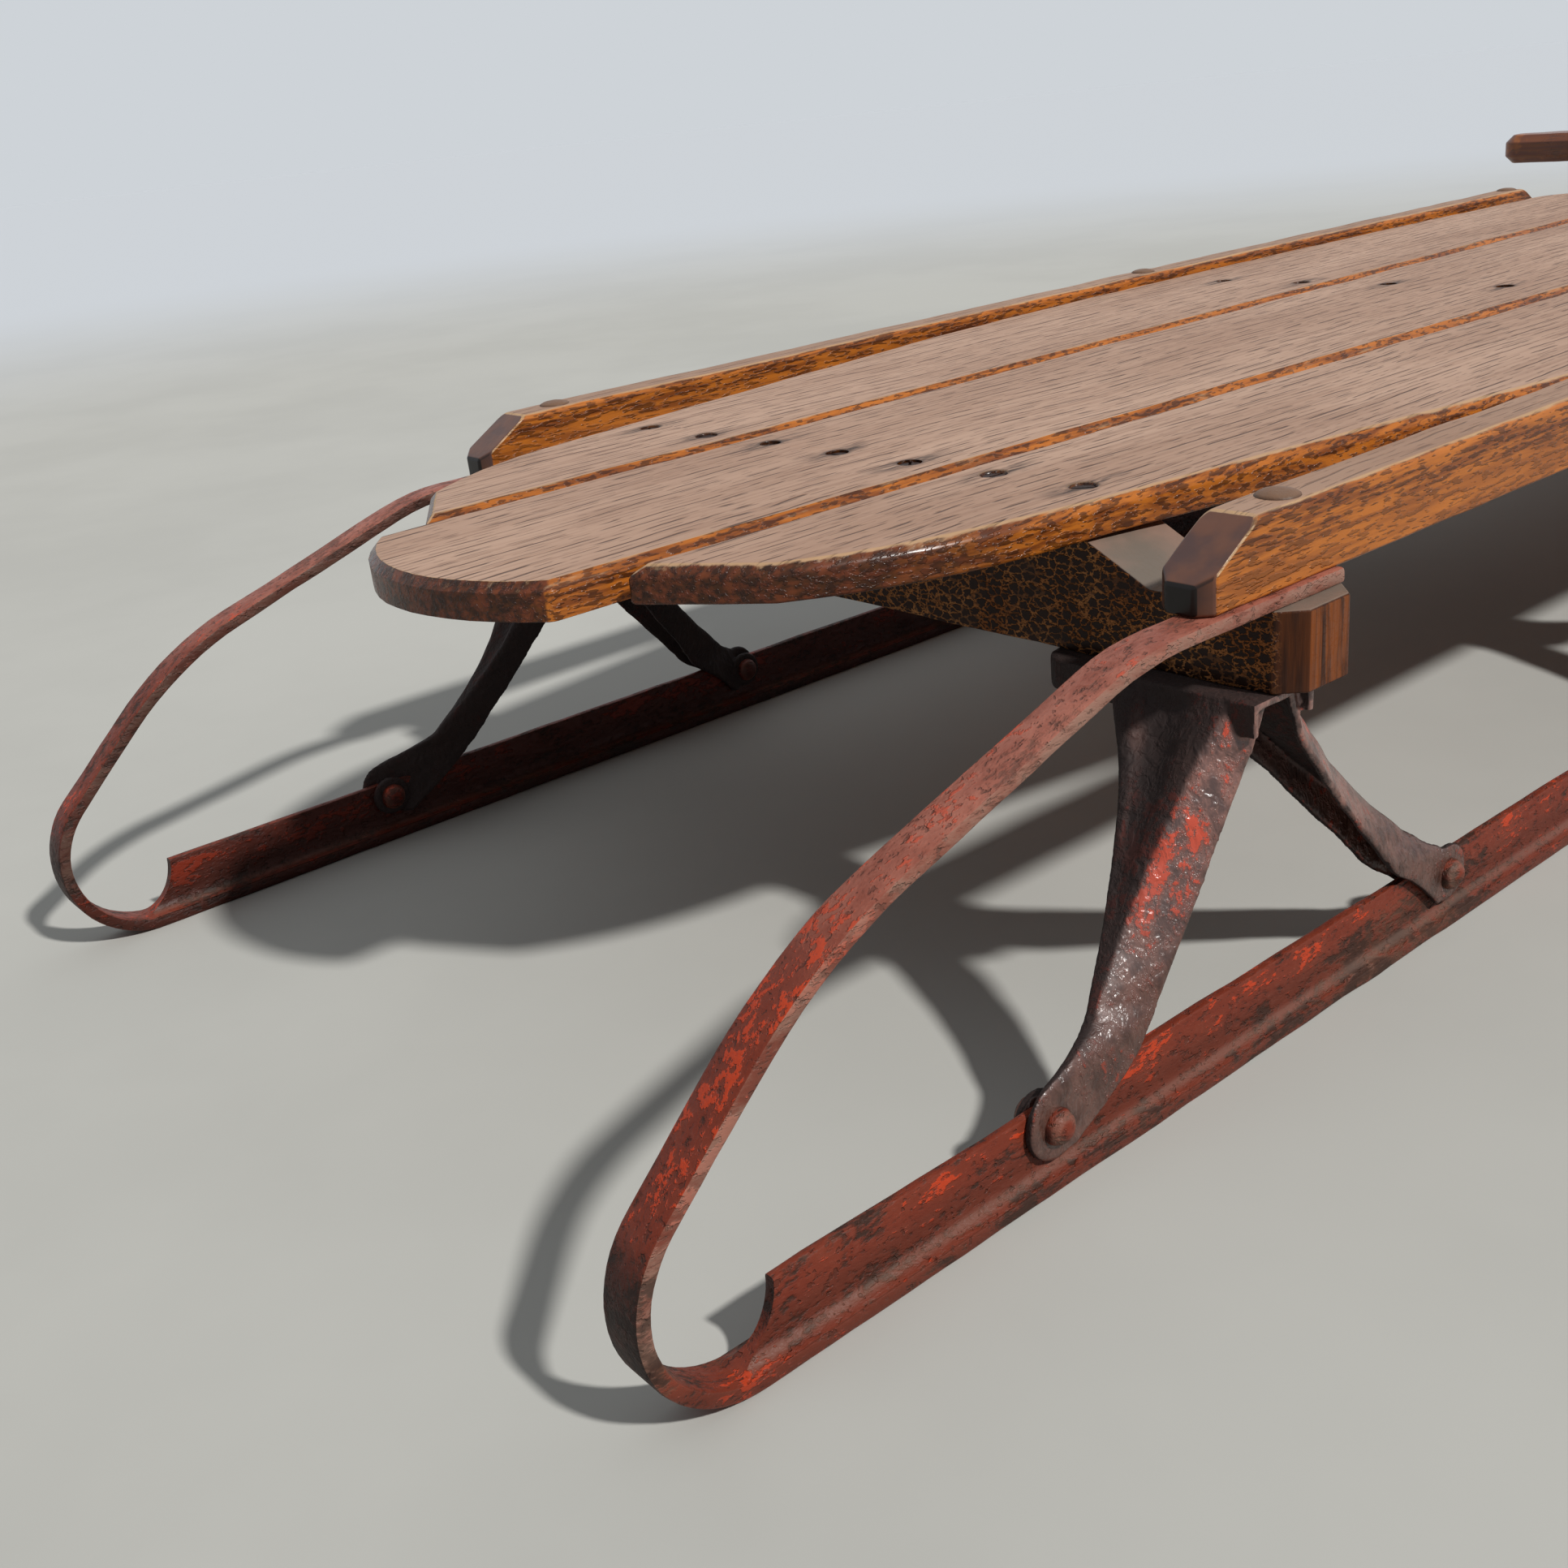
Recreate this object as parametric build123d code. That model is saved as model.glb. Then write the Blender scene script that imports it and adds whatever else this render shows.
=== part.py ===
from build123d import *
import os
from math import asin, cos, degrees, radians, sin

# A steerable coasting sled: three oak slats and two side rails on three cross
# bolsters, pressed-steel knees riveted to two steel T-section runners, and a
# pivoted wooden steering bar whose tongue works the bar between the noses.
# Millimetres. +X is the way the sled travels, +Y its left side, +Z up.
# While building, X is measured from the rear bolster's bolts and Z from the
# ground; at the end everything moves along X so that the origin is under the
# middle of the whole sled.

# ---- overall layout ----
TRACK = 340.0              # between the webs of the two runners
BOLSTER_PITCH = 363.0      # between neighbouring bolsters
BOLSTER_COUNT = 3
DECK_TOP = 146.2           # height of the seat

# ---- slats ----
SLAT_THICK = 10.5
SLAT_GAP = 5.5
SLAT_EASE = 2.6            # bevel of the worn upper edges
CENTRE_HALF_REAR = 50.0    # half width of the middle slat at its tail
CENTRE_HALF_FRONT = 64.0   # and where the side slats end
CENTRE_TAIL = 160.0        # tail behind the rear bolster
CENTRE_TAIL_BOW = 18.0     # depth of the tail's curved end
CENTRE_TAIL_ROUND = 4.0
CENTRE_NOSE_AHEAD = 204.0  # nose of the middle slat ahead of the front bolster
CENTRE_NOSE_HALF = 46.0
CENTRE_NOSE_ROUND = 30.0
SIDE_TAIL = 122.0          # tail of a side slat behind the rear bolster
SIDE_NOSE_AHEAD = 24.0     # nose of a side slat ahead of the front bolster
SIDE_NOSE_ROUND = 34.0
DECK_HALF_TAIL = 88.0      # half width of the deck where its tail corner turns
DECK_HALF_REAR = 120.0     # half width over the rear bolster
DECK_HALF_NOSE = 146.0     # half width at the side slats' noses
TAIL_SLANT = 21.0          # how far a side slat's end slants forward
TAIL_SWELL = 12.0          # narrower than over the rear bolster, halfway to the tail
QUARTER_IN = 6.0           # narrower than the widest part, between it and the rear bolster
FRONT_IN = 2.0             # narrower than the widest part, behind the front bolster
WIDEST_SHARE = 0.6         # where the deck is widest, as a share of the way to the front bolster
FRONT_SHARE = 0.8          # and where it has begun to narrow again

# ---- side rails ----
RAIL_WIDE = 16.6
RAIL_HIGH = 21.2
RAIL_RISE = 4.2            # top of the rail above the seat
RAIL_INSET = 3.9           # middle of the rail inward of the runner's web
RAIL_GAP = 0.8             # between a rail and the widest part of the deck
RAIL_TAIL = 40.0           # rail behind the rear bolster's bolt
RAIL_NOSE = 29.0           # rail ahead of the front bolster's bolt
RAIL_END_FLAT = 8.1        # upright part of the rail's end
RAIL_END_SLOPE = 21.3      # length of the bevel above it
RAIL_CORNER = 4.0
RAIL_ROUND = 2.5

# ---- bolsters ----
BOLSTER_WIDE = 30.0
BOLSTER_HIGH = 32.7
BOLSTER_END_OUT = 12.0     # past the runner's web
BOLSTER_CORNER = 6.5
BOLSTER_SEAT_HALF = 116.0  # half length of the raised part under the slats
BOLSTER_RAMP = 21.0

# ---- runners ----
STRIP_WIDE = 12.0
STRIP_THICK = 4.0
WEB_THICK = 3.0
WEB_TOP = 22.2
NOTCH = 17.5               # hollow where the web stops behind the knee
WEB_PAST_FOOT = 88.0       # web behind the rear knee's rear rivet
KINK_BACK = 62.0           # where the loop leaves the level, behind the bolts
KINK_ROUND = 12.0
LOOP_SLOPE = 9.4
LOOP_BENDS = ((155.0, 42.0), (63.0, 26.0))   # radius and turn of the upper bends
LOOP_TIGHT = 28.5          # radius of the bend at the ground
RISE_AHEAD = 152.0         # start of the upturn ahead of the front bolster
RISE_ROUND = 130.0
RISE_TURN = 45.0
NOSE_FLAT = 30.0           # level end under the nose bar
NOSE_TOP = 137.5

# ---- knees ----
KNEE_BACK = 10.0           # middle of a knee behind its bolster's bolt
KNEE_SHEET = 2.3
KNEE_TOP_HALF = 13.0       # half width of the cap under the bolster
KNEE_TAB = 66.0            # cap reaches this far inward of the web
KNEE_CAP_DEEP = 9.0
KNEE_TAB_CORNER = 7.0
KNEE_FOOT = 89.2           # rivet from the knee's middle
KNEE_FOOT_HIGH = 17.0
KNEE_EAR = 10.0            # radius of the many-sided ear at the rivet
EAR_SIDES = 12
KNEE_EAR_HALF = 4.6        # half thickness of the foot
EAR_LEAN = 37.0            # where the leg's edges meet the ear, degrees above its middle
HOLLOW_PAST = 3.0          # how far a leg's hollow runs on, in sheet thicknesses
KNEE_OUT = 6.0             # cap's outer edge from the web's middle
# A leg's sections, from the cap down: height as a share of the leg, then how far the outer free
# edge, the ridge, the groove, the back and the inner free edge lie from the knee's middle, each
# with its distance outward of the web's middle.
LEG_SECTIONS = (
    (1.00, (6.0, 4.5), (16.0, -4.0), (10.0, -21.0), (18.0, -36.0), (6.0, -42.0)),
    (0.81, (12.8, 3.5), (27.0, -6.5), (21.0, -18.5), (28.0, -27.0), (12.8, -32.0)),
    (0.52, (26.5, 2.8), (42.0, -7.0), (39.5, -14.0), (42.5, -18.0), (26.5, -20.0)),
    (0.26, (41.0, 3.4), (58.0, -5.0), (57.6, -7.5), (58.0, -10.0), (41.0, -13.5)),
    (0.03, (54.0, 4.0), (74.0, -2.6), (74.0, -3.8), (74.0, -5.0), (54.0, -7.0)),
)

# ---- steering ----
PIVOT_AHEAD = 171.0        # steering pivot ahead of the front bolster
LINK_REACH = 58.0          # from the pivot to the tongue's pin
STEER_SWING = 10.0         # each way, degrees
BAR_HALF = 252.0
BAR_WIDE = 42.0
BAR_TIP_WIDE = 26.0
BAR_SWEEP = 10.0
BAR_THICK = 19.0
BAR_CORNER = 11.0
BAR_EASE = 5.0             # bevel of the long edges
ROPE_HOLE_R = 5.0
ROPE_HOLE_OUT = 196.0
ROPE_HOLE_BACK = 6.0       # behind the pivot
PLATE_THICK = 3.0
PLATE_LONG = 56.0
PLATE_WIDE = 44.0
PLATE_CORNER = 6.0
TONGUE_THICK = 4.5
TONGUE_REAR_R = 19.0
TONGUE_PIN_R = 11.0
MOVING_GAP = 0.3
WASHER_R = 15.0
WASHER_THICK = 2.5
BOLT_R = 4.0
BOLT_HEAD_R = 8.0
BOLT_HEAD_HIGH = 5.0
BOLT_HEAD_EASE = 2.5
NUT_R = 6.8
NUT_HIGH = 6.0
FIT = 0.05                 # a bolt in its own piece's hole
RUN_FIT = 0.08             # a turning fit round the pivot bolt
PIN_R = 3.0
PIN_HEAD_R = 6.0
PIN_HEAD_HIGH = 3.0
PIN_NUT_R = 5.5
PIN_NUT_HIGH = 3.5
PIN_DROP = 3.5             # nut below the nose bar
SLOT_PLAY = 0.8
NOSE_BAR_WIDE = 25.0
NOSE_BAR_THICK = 4.0
NOSE_BAR_OUT = 8.0         # past the web of the runner

# ---- worked out from the sizes above ----
HALF_TRACK = TRACK / 2
FRONT_BOLSTER = BOLSTER_PITCH * (BOLSTER_COUNT - 1)
DECK_UNDER = DECK_TOP - SLAT_THICK
BOLSTER_BOTTOM = DECK_UNDER - BOLSTER_HIGH
RAIL_TOP = DECK_TOP + RAIL_RISE
RAIL_BOTTOM = RAIL_TOP - RAIL_HIGH
RAIL_MIDDLE = HALF_TRACK - RAIL_INSET
RAIL_INNER = RAIL_MIDDLE - RAIL_WIDE / 2
DECK_HALF = RAIL_INNER - RAIL_GAP
PIVOT_X = FRONT_BOLSTER + PIVOT_AHEAD
NOSE_BAR_X = PIVOT_X + LINK_REACH
RISE_X = FRONT_BOLSTER + RISE_AHEAD
STRIP_HALF = STRIP_THICK / 2
REAR_STRIP_MIDDLE = RAIL_BOTTOM - STRIP_HALF
TIP_AHEAD = BOLSTER_WIDE / 2
NAMES = ("rear", "middle", "front")
LEFT = 1
RIGHT = -1


def heading(degrees):
    """Unit direction in the runner's side view."""
    return Vector(cos(radians(degrees)), sin(radians(degrees)))


def offset_run(start, angle, moves, left):
    """Edges of a run of straights and tangent bends, kept a distance to its left."""
    normal = heading(angle + 90)
    point = Vector(*start) + normal * left
    edges = []
    for size, turn in moves:
        if turn == 0:
            edge = Line(point, point + heading(angle) * size)
        else:
            radius = size - left if turn > 0 else size + left
            edge = JernArc(point, heading(angle), radius, turn)
        edges.append(edge)
        point = edge @ 1
        angle += turn
    return edges


def ribbon(start, angle, moves, left, right):
    """Face between two lines that keep their distance to one run."""
    one = offset_run(start, angle, moves, left)
    two = offset_run(start, angle, moves, right)
    ends = [Line(one[0] @ 0, two[0] @ 0), Line(one[-1] @ 1, two[-1] @ 1)]
    return make_face(Wire(one + two + ends))


def run_end(start, angle, moves):
    """Where a run ends."""
    return offset_run(start, angle, moves, 0)[-1] @ 1


def side_plate(face, thickness):
    """Solid of a side-view face, centred across the sled."""
    return extrude(Plane.XZ * face, thickness / 2, both=True)


def on_side(piece, side):
    """A right-hand or left-hand copy of a piece made about the sled's middle plane."""
    return piece if side == LEFT else mirror(piece, Plane.XZ)


# ---- the runner's line: rear tip, loop, ground, upturn, nose ----
LOOP_TURN = LOOP_SLOPE + sum(turn for _, turn in LOOP_BENDS)
UPPER = [(TIP_AHEAD + KINK_BACK, 0), (KINK_ROUND, LOOP_SLOPE)]
LOWER = list(LOOP_BENDS) + [(LOOP_TIGHT, 180 - LOOP_TURN)]
TIP = (TIP_AHEAD, REAR_STRIP_MIDDLE)
DROP_WITHOUT_SLOPE = run_end(TIP, 180, UPPER + LOWER).Y - STRIP_HALF
SLOPE_LONG = DROP_WITHOUT_SLOPE / sin(radians(LOOP_SLOPE))
LOOP = UPPER + [(SLOPE_LONG, 0)] + LOWER
LOOP_END = run_end(TIP, 180, LOOP)
NOSE_HEIGHT = NOSE_TOP - STRIP_HALF
RISE_HEIGHT = STRIP_HALF + RISE_ROUND * (1 - cos(radians(RISE_TURN)))
NOSE_ROUND = (NOSE_HEIGHT - RISE_HEIGHT) / (1 + cos(radians(RISE_TURN)))
GROUND = [(RISE_X - LOOP_END.X, 0)]
NOSE = [(RISE_ROUND, RISE_TURN), (NOSE_ROUND, 180 - RISE_TURN), (NOSE_FLAT, 0)]
RISE_END_X = RISE_X + RISE_ROUND * sin(radians(RISE_TURN))
NOSE_CENTRE_X = RISE_END_X - NOSE_ROUND * sin(radians(RISE_TURN))
FRONT_END = NOSE_CENTRE_X + NOSE_ROUND + STRIP_HALF
REAR_END = LOOP_END.X - LOOP_TIGHT - STRIP_HALF
WEB_START = -KNEE_BACK - KNEE_FOOT - WEB_PAST_FOOT
SLED_MIDDLE = (FRONT_END + REAR_END) / 2


def runner(side):
    """One runner: a T section whose web stops at both ends, its base strip bent into the loops."""
    strip = side_plate(ribbon(TIP, 180, LOOP + GROUND + NOSE, -STRIP_HALF, STRIP_HALF), STRIP_WIDE)
    web_moves = [(RISE_X - WEB_START, 0), (RISE_ROUND, RISE_TURN)]
    web_start = (WEB_START, STRIP_HALF)
    web_face = ribbon(web_start, 0, web_moves, WEB_TOP - STRIP_HALF, 0)
    rear_foot = ribbon((WEB_START - NOTCH, STRIP_HALF), 0, [(NOTCH, 0)], STRIP_HALF + NOTCH, 0)
    rear_hollow = Pos(WEB_START - NOTCH, STRIP_THICK + NOTCH) * Circle(NOTCH)
    front = run_end(web_start, 0, web_moves)
    front_turn = degrees(NOTCH / NOSE_ROUND)
    front_foot = ribbon((front.X, front.Y), RISE_TURN, [(NOSE_ROUND, front_turn)], STRIP_HALF + NOTCH, 0)
    tilt = Location((front.X, front.Y, 0), (0, 0, RISE_TURN))
    front_hollow = tilt * Pos(NOTCH, STRIP_HALF + NOTCH) * Circle(NOTCH)
    web = side_plate(web_face + (rear_foot - rear_hollow) + (front_foot - front_hollow), WEB_THICK)
    return Pos(0, side * HALF_TRACK, 0) * (strip + web)


def hollow_line(line, sheet):
    """A leg's outline moved in by its sheet, and run on past both free edges."""
    ways = [(after - before).normalized() for before, after in zip(line, line[1:])]
    sides = [way.rotate(Axis.Z, -90) for way in ways]
    past = HOLLOW_PAST * sheet
    moved = [line[0] + sides[0] * sheet - ways[0] * past]
    for corner, before, after in zip(line[1:], sides, sides[1:]):
        moved.append(corner + (before + after) * (sheet / (1 + before.dot(after))))
    moved.append(line[-1] + sides[-1] * sheet + ways[-1] * past)
    return moved


def flat_sided(sections):
    """A solid through sections with as many corners each, every side folded along a diagonal."""
    faces = [Face(Wire.make_polygon(sections[0])), Face(Wire.make_polygon(sections[-1]))]
    for upper, lower in zip(sections, sections[1:]):
        for index, corner in enumerate(upper):
            following = (index + 1) % len(upper)
            faces.append(Face(Wire.make_polygon([corner, upper[following], lower[index]])))
            faces.append(Face(Wire.make_polygon([upper[following], lower[following], lower[index]])))
    return Solid(Shell(faces))


def knee_leg():
    """The channel of one leg, open towards the other leg, and its foot over the runner's web."""
    top = BOLSTER_BOTTOM - KNEE_SHEET
    foot_top = WEB_TOP + KNEE_SHEET
    outside = []
    inside = []
    for section in LEG_SECTIONS:
        height = foot_top + (top - foot_top) * section[0]
        line = [Vector(x, y, height) for x, y in section[1:]]
        outside.append(line)
        inside.append(hollow_line(line, KNEE_SHEET))
    shell = flat_sided(outside)
    core = flat_sided(inside[:-1])
    lowest_share = LEG_SECTIONS[-1][0]
    shank_free = LEG_SECTIONS[-1][1][0]
    shank_spread = LEG_SECTIONS[-1][2][0]
    ear = Pos(KNEE_FOOT, KNEE_FOOT_HIGH) * RegularPolygon(KNEE_EAR, EAR_SIDES)
    shank_top = foot_top + (top - foot_top) * lowest_share
    ear_out = KNEE_EAR * cos(radians(EAR_LEAN))
    ear_up = KNEE_EAR * sin(radians(EAR_LEAN))
    shank = make_face(Polyline((shank_free, shank_top), (shank_spread, shank_top),
                               (KNEE_FOOT + ear_out, KNEE_FOOT_HIGH + ear_up),
                               (KNEE_FOOT, KNEE_FOOT_HIGH - KNEE_EAR),
                               (KNEE_FOOT - ear_out, KNEE_FOOT_HIGH - ear_up), close=True))
    foot = side_plate(ear + shank, 2 * KNEE_EAR_HALF)
    return shell, core, foot


def knee(side, bolster_x):
    """A pressed knee: a channel cap under the bolster and two channel legs riveted to the web."""
    shell, core, foot = knee_leg()
    reach = KNEE_OUT + KNEE_TAB
    middle_y = (KNEE_OUT - KNEE_TAB) / 2
    cap_face = Pos(0, middle_y) * Rectangle(2 * KNEE_TOP_HALF, reach)
    tab_corners = cap_face.vertices().sort_by(Axis.Y)[:2]
    cap_face = chamfer(tab_corners, KNEE_TAB_CORNER)
    cap = Pos(0, 0, BOLSTER_BOTTOM - KNEE_CAP_DEEP) * extrude(cap_face, KNEE_CAP_DEEP)
    hollow_face = offset(cap_face, -KNEE_SHEET, kind=Kind.INTERSECTION)
    hollow_face += Pos(0, KNEE_OUT) * Rectangle(2 * (KNEE_TOP_HALF - KNEE_SHEET), 4 * KNEE_SHEET)
    hollow = Pos(0, 0, BOLSTER_BOTTOM - KNEE_CAP_DEEP) * extrude(hollow_face, KNEE_CAP_DEEP - KNEE_SHEET)
    legs = shell + mirror(shell, Plane.YZ)
    cores = core + mirror(core, Plane.YZ)
    feet = foot + mirror(foot, Plane.YZ)
    web_room = Pos(0, 0, WEB_TOP / 2) * Box(4 * KNEE_FOOT, WEB_THICK, WEB_TOP)
    piece = (cap - hollow) + (legs - cores) + feet - web_room
    return Pos(bolster_x - KNEE_BACK, side * HALF_TRACK, 0) * on_side(piece, side)


def bolster(x, end_top):
    """A cross beam: raised and flat under the slats, ramped down to the rail seats."""
    out = HALF_TRACK + BOLSTER_END_OUT
    ramp_foot = BOLSTER_SEAT_HALF + BOLSTER_RAMP
    profile = make_face(Polyline((-out, BOLSTER_BOTTOM), (out, BOLSTER_BOTTOM), (out, end_top),
                                 (ramp_foot, end_top), (BOLSTER_SEAT_HALF, DECK_UNDER),
                                 (-BOLSTER_SEAT_HALF, DECK_UNDER), (-ramp_foot, end_top),
                                 (-out, end_top), close=True))
    beam = extrude(Plane.YZ * profile, BOLSTER_WIDE / 2, both=True)
    upright = beam.edges().filter_by(Axis.Z)
    ends = [edge for edge in upright if abs(edge.center().Y) > out - 1]
    return Pos(x, 0, 0) * chamfer(ends, BOLSTER_CORNER)


def rail(side):
    """A side rail with bevelled ends and eased upper edges."""
    rear = -RAIL_TAIL
    front = FRONT_BOLSTER + RAIL_NOSE
    shoulder = RAIL_BOTTOM + RAIL_END_FLAT
    face = make_face(Polyline((rear, RAIL_BOTTOM), (front, RAIL_BOTTOM), (front, shoulder),
                              (front - RAIL_END_SLOPE, RAIL_TOP), (rear + RAIL_END_SLOPE, RAIL_TOP),
                              (rear, shoulder), close=True))
    bar = side_plate(face, RAIL_WIDE)
    ends = bar.edges().filter_by(Axis.Z)
    bar = chamfer(ends, RAIL_CORNER)
    long_top = bar.edges().filter_by(Axis.X).group_by(Axis.Z)[-1]
    bar = fillet(long_top, RAIL_ROUND)
    return Pos(0, side * RAIL_MIDDLE, 0) * bar


def seam(x):
    """Half width of the middle slat, to the middle of the gap beside it."""
    share = (x + CENTRE_TAIL) / (FRONT_BOLSTER + SIDE_NOSE_AHEAD + CENTRE_TAIL)
    return CENTRE_HALF_REAR + (CENTRE_HALF_FRONT - CENTRE_HALF_REAR) * share


def slat_solid(face):
    """A slat from its plan, with eased upper edges."""
    board = Pos(0, 0, DECK_UNDER) * extrude(face, SLAT_THICK)
    upper = board.faces().sort_by(Axis.Z)[-1]
    return chamfer(upper.edges(), SLAT_EASE)


def slat_centre():
    """The long middle slat with its rounded tail and its nose under the steering bar."""
    half = SLAT_GAP / 2
    neck_x = FRONT_BOLSTER + SIDE_NOSE_AHEAD
    nose_x = FRONT_BOLSTER + CENTRE_NOSE_AHEAD
    shoulder = CENTRE_TAIL_BOW - CENTRE_TAIL
    upper = [(shoulder, seam(shoulder) - half), (neck_x, seam(neck_x) - half), (nose_x, CENTRE_NOSE_HALF)]
    lower = [(x, -y) for x, y in reversed(upper)]
    sides = Polyline(*upper, *lower)
    tail_end = ThreePointArc(sides @ 1, (-CENTRE_TAIL, 0), sides @ 0)
    face = make_face(Wire([*sides.edges(), tail_end.edge()]))
    shoulders = face.vertices().filter_by(lambda vertex: abs(vertex.X - shoulder) < 1)
    face = fillet(shoulders, CENTRE_TAIL_ROUND)
    by_x = face.vertices().sort_by(Axis.X)
    face = fillet(by_x[-2:], CENTRE_NOSE_ROUND)
    board = slat_solid(face)
    hole = Pos(PIVOT_X, 0, DECK_TOP) * Cylinder(BOLT_R + FIT, 3 * SLAT_THICK)
    return board - hole


def slat_side(side):
    """A side slat: straight along the middle slat, its outer edge swelling to the rail."""
    half = SLAT_GAP / 2
    tail = -SIDE_TAIL
    nose = FRONT_BOLSTER + SIDE_NOSE_AHEAD
    widest = FRONT_BOLSTER * WIDEST_SHARE
    inner = Line((nose, seam(nose) + half), (tail, seam(tail) + half))
    tail_end = Line(inner @ 1, (tail + TAIL_SLANT, DECK_HALF_TAIL))
    outer = Spline(tail_end @ 1, (tail / 2, DECK_HALF_REAR - TAIL_SWELL), (0, DECK_HALF_REAR),
                   (widest / 2, DECK_HALF - QUARTER_IN), (widest, DECK_HALF),
                   (FRONT_BOLSTER * FRONT_SHARE, DECK_HALF - FRONT_IN), (nose, DECK_HALF_NOSE))
    nose_end = Line(outer @ 1, inner @ 0)
    face = make_face(Wire([inner, tail_end, outer, nose_end]))
    corner = face.vertices().sort_by(Axis.X)[-2:].sort_by(Axis.Y)[-1]
    face = fillet(corner, SIDE_NOSE_ROUND)
    return on_side(slat_solid(face), side)


def nose_bar():
    """The bowed steel bar between the runner noses, slotted for the tongue's pin."""
    end_x = NOSE_CENTRE_X - NOSE_FLAT / 2
    bow = NOSE_BAR_X - end_x
    radius = (HALF_TRACK ** 2 + bow ** 2) / (2 * bow)
    centre = NOSE_BAR_X - radius
    out = HALF_TRACK + NOSE_BAR_OUT
    ring = Pos(centre, 0) * (Circle(radius + NOSE_BAR_WIDE / 2) - Circle(radius - NOSE_BAR_WIDE / 2))
    keep = Pos(centre + radius, 0) * Rectangle(2 * radius, 2 * out)
    swing = LINK_REACH * sin(radians(STEER_SWING))
    back = LINK_REACH * (1 - cos(radians(STEER_SWING)))
    slot_half = PIN_R + SLOT_PLAY
    slot = Pos(NOSE_BAR_X - back / 2, 0) * Rectangle(2 * slot_half + back, 2 * (swing + slot_half))
    slot = fillet(slot.vertices(), PIN_R)
    face = ring & keep
    return Pos(0, 0, NOSE_TOP) * extrude(face - slot, NOSE_BAR_THICK)


def steering_bar(bottom):
    """The hardwood steering bar with rounded grips, pivot hole and rope holes."""
    tip_y = BAR_HALF
    front_tip = -BAR_SWEEP + BAR_TIP_WIDE / 2
    rear_tip = -BAR_SWEEP - BAR_TIP_WIDE / 2
    front = ThreePointArc((front_tip, -tip_y), (BAR_WIDE / 2, 0), (front_tip, tip_y))
    left_end = Line(front @ 1, (rear_tip, tip_y))
    rear = ThreePointArc(left_end @ 1, (-BAR_WIDE / 2, 0), (rear_tip, -tip_y))
    right_end = Line(rear @ 1, front @ 0)
    face = make_face(Wire([front, left_end, rear, right_end]))
    face = fillet(face.vertices(), BAR_CORNER)
    bar = extrude(face, BAR_THICK)
    rims = bar.faces().filter_by(Axis.Z).edges()
    bar = chamfer(rims, BAR_EASE)
    bar -= Cylinder(BOLT_R + RUN_FIT, 3 * BAR_THICK)
    for side in (LEFT, RIGHT):
        bar -= Pos(-ROPE_HOLE_BACK, side * ROPE_HOLE_OUT, 0) * Cylinder(ROPE_HOLE_R, 3 * BAR_THICK)
    return Pos(PIVOT_X, 0, bottom) * bar


def pivot_plate(bottom):
    """The steel wear plate on the middle slat."""
    face = chamfer(Rectangle(PLATE_LONG, PLATE_WIDE).vertices(), PLATE_CORNER)
    face -= Circle(BOLT_R + FIT)
    return Pos(PIVOT_X, 0, bottom) * extrude(face, PLATE_THICK)


def steering_tongue(bottom):
    """The steel tongue under the steering bar, reaching to the nose bar."""
    big = Circle(TONGUE_REAR_R)
    small = Pos(LINK_REACH, 0) * Circle(TONGUE_PIN_R)
    lean = asin((TONGUE_REAR_R - TONGUE_PIN_R) / LINK_REACH)
    across = Vector(sin(lean), cos(lean))
    flank = Vector(sin(lean), -cos(lean))
    tip = Vector(LINK_REACH, 0)
    body = make_face(Polyline(across * TONGUE_REAR_R, tip + across * TONGUE_PIN_R,
                              tip + flank * TONGUE_PIN_R, flank * TONGUE_REAR_R, close=True))
    face = big + small + body
    face -= Circle(BOLT_R + RUN_FIT)
    face -= Pos(LINK_REACH, 0) * Circle(PIN_R + FIT)
    return Pos(PIVOT_X, 0, bottom) * extrude(face, TONGUE_THICK)


def tongue_pin(seat):
    """The bolt at the tongue's tip, hanging through the nose bar's slot."""
    low = NOSE_TOP - PIN_DROP
    shaft = Pos(0, 0, low - PIN_NUT_HIGH) * extrude(Circle(PIN_R), seat - low + PIN_NUT_HIGH)
    head = Pos(0, 0, seat) * extrude(Circle(PIN_HEAD_R), PIN_HEAD_HIGH)
    nut = Pos(0, 0, low - PIN_NUT_HIGH) * extrude(RegularPolygon(PIN_NUT_R, 6), PIN_NUT_HIGH)
    return Pos(NOSE_BAR_X, 0, 0) * (shaft + head + nut)


def pivot_washer(bottom):
    """The round plate on top of the steering bar."""
    face = Circle(WASHER_R) - Circle(BOLT_R + RUN_FIT)
    return Pos(PIVOT_X, 0, bottom) * extrude(face, WASHER_THICK)


def pivot_bolt(head_seat):
    """The bolt that the steering bar turns on, nutted under the middle slat."""
    low = DECK_UNDER - NUT_HIGH
    shaft = Pos(0, 0, low) * extrude(Circle(BOLT_R), head_seat - low)
    head = Pos(0, 0, head_seat) * extrude(Circle(BOLT_HEAD_R), BOLT_HEAD_HIGH)
    rim = head.faces().sort_by(Axis.Z)[-1].edges()
    head = chamfer(rim, BOLT_HEAD_EASE)
    nut = Pos(0, 0, low) * extrude(RegularPolygon(NUT_R, 6), NUT_HIGH)
    return Pos(PIVOT_X, 0, 0) * (shaft + head + nut)


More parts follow.
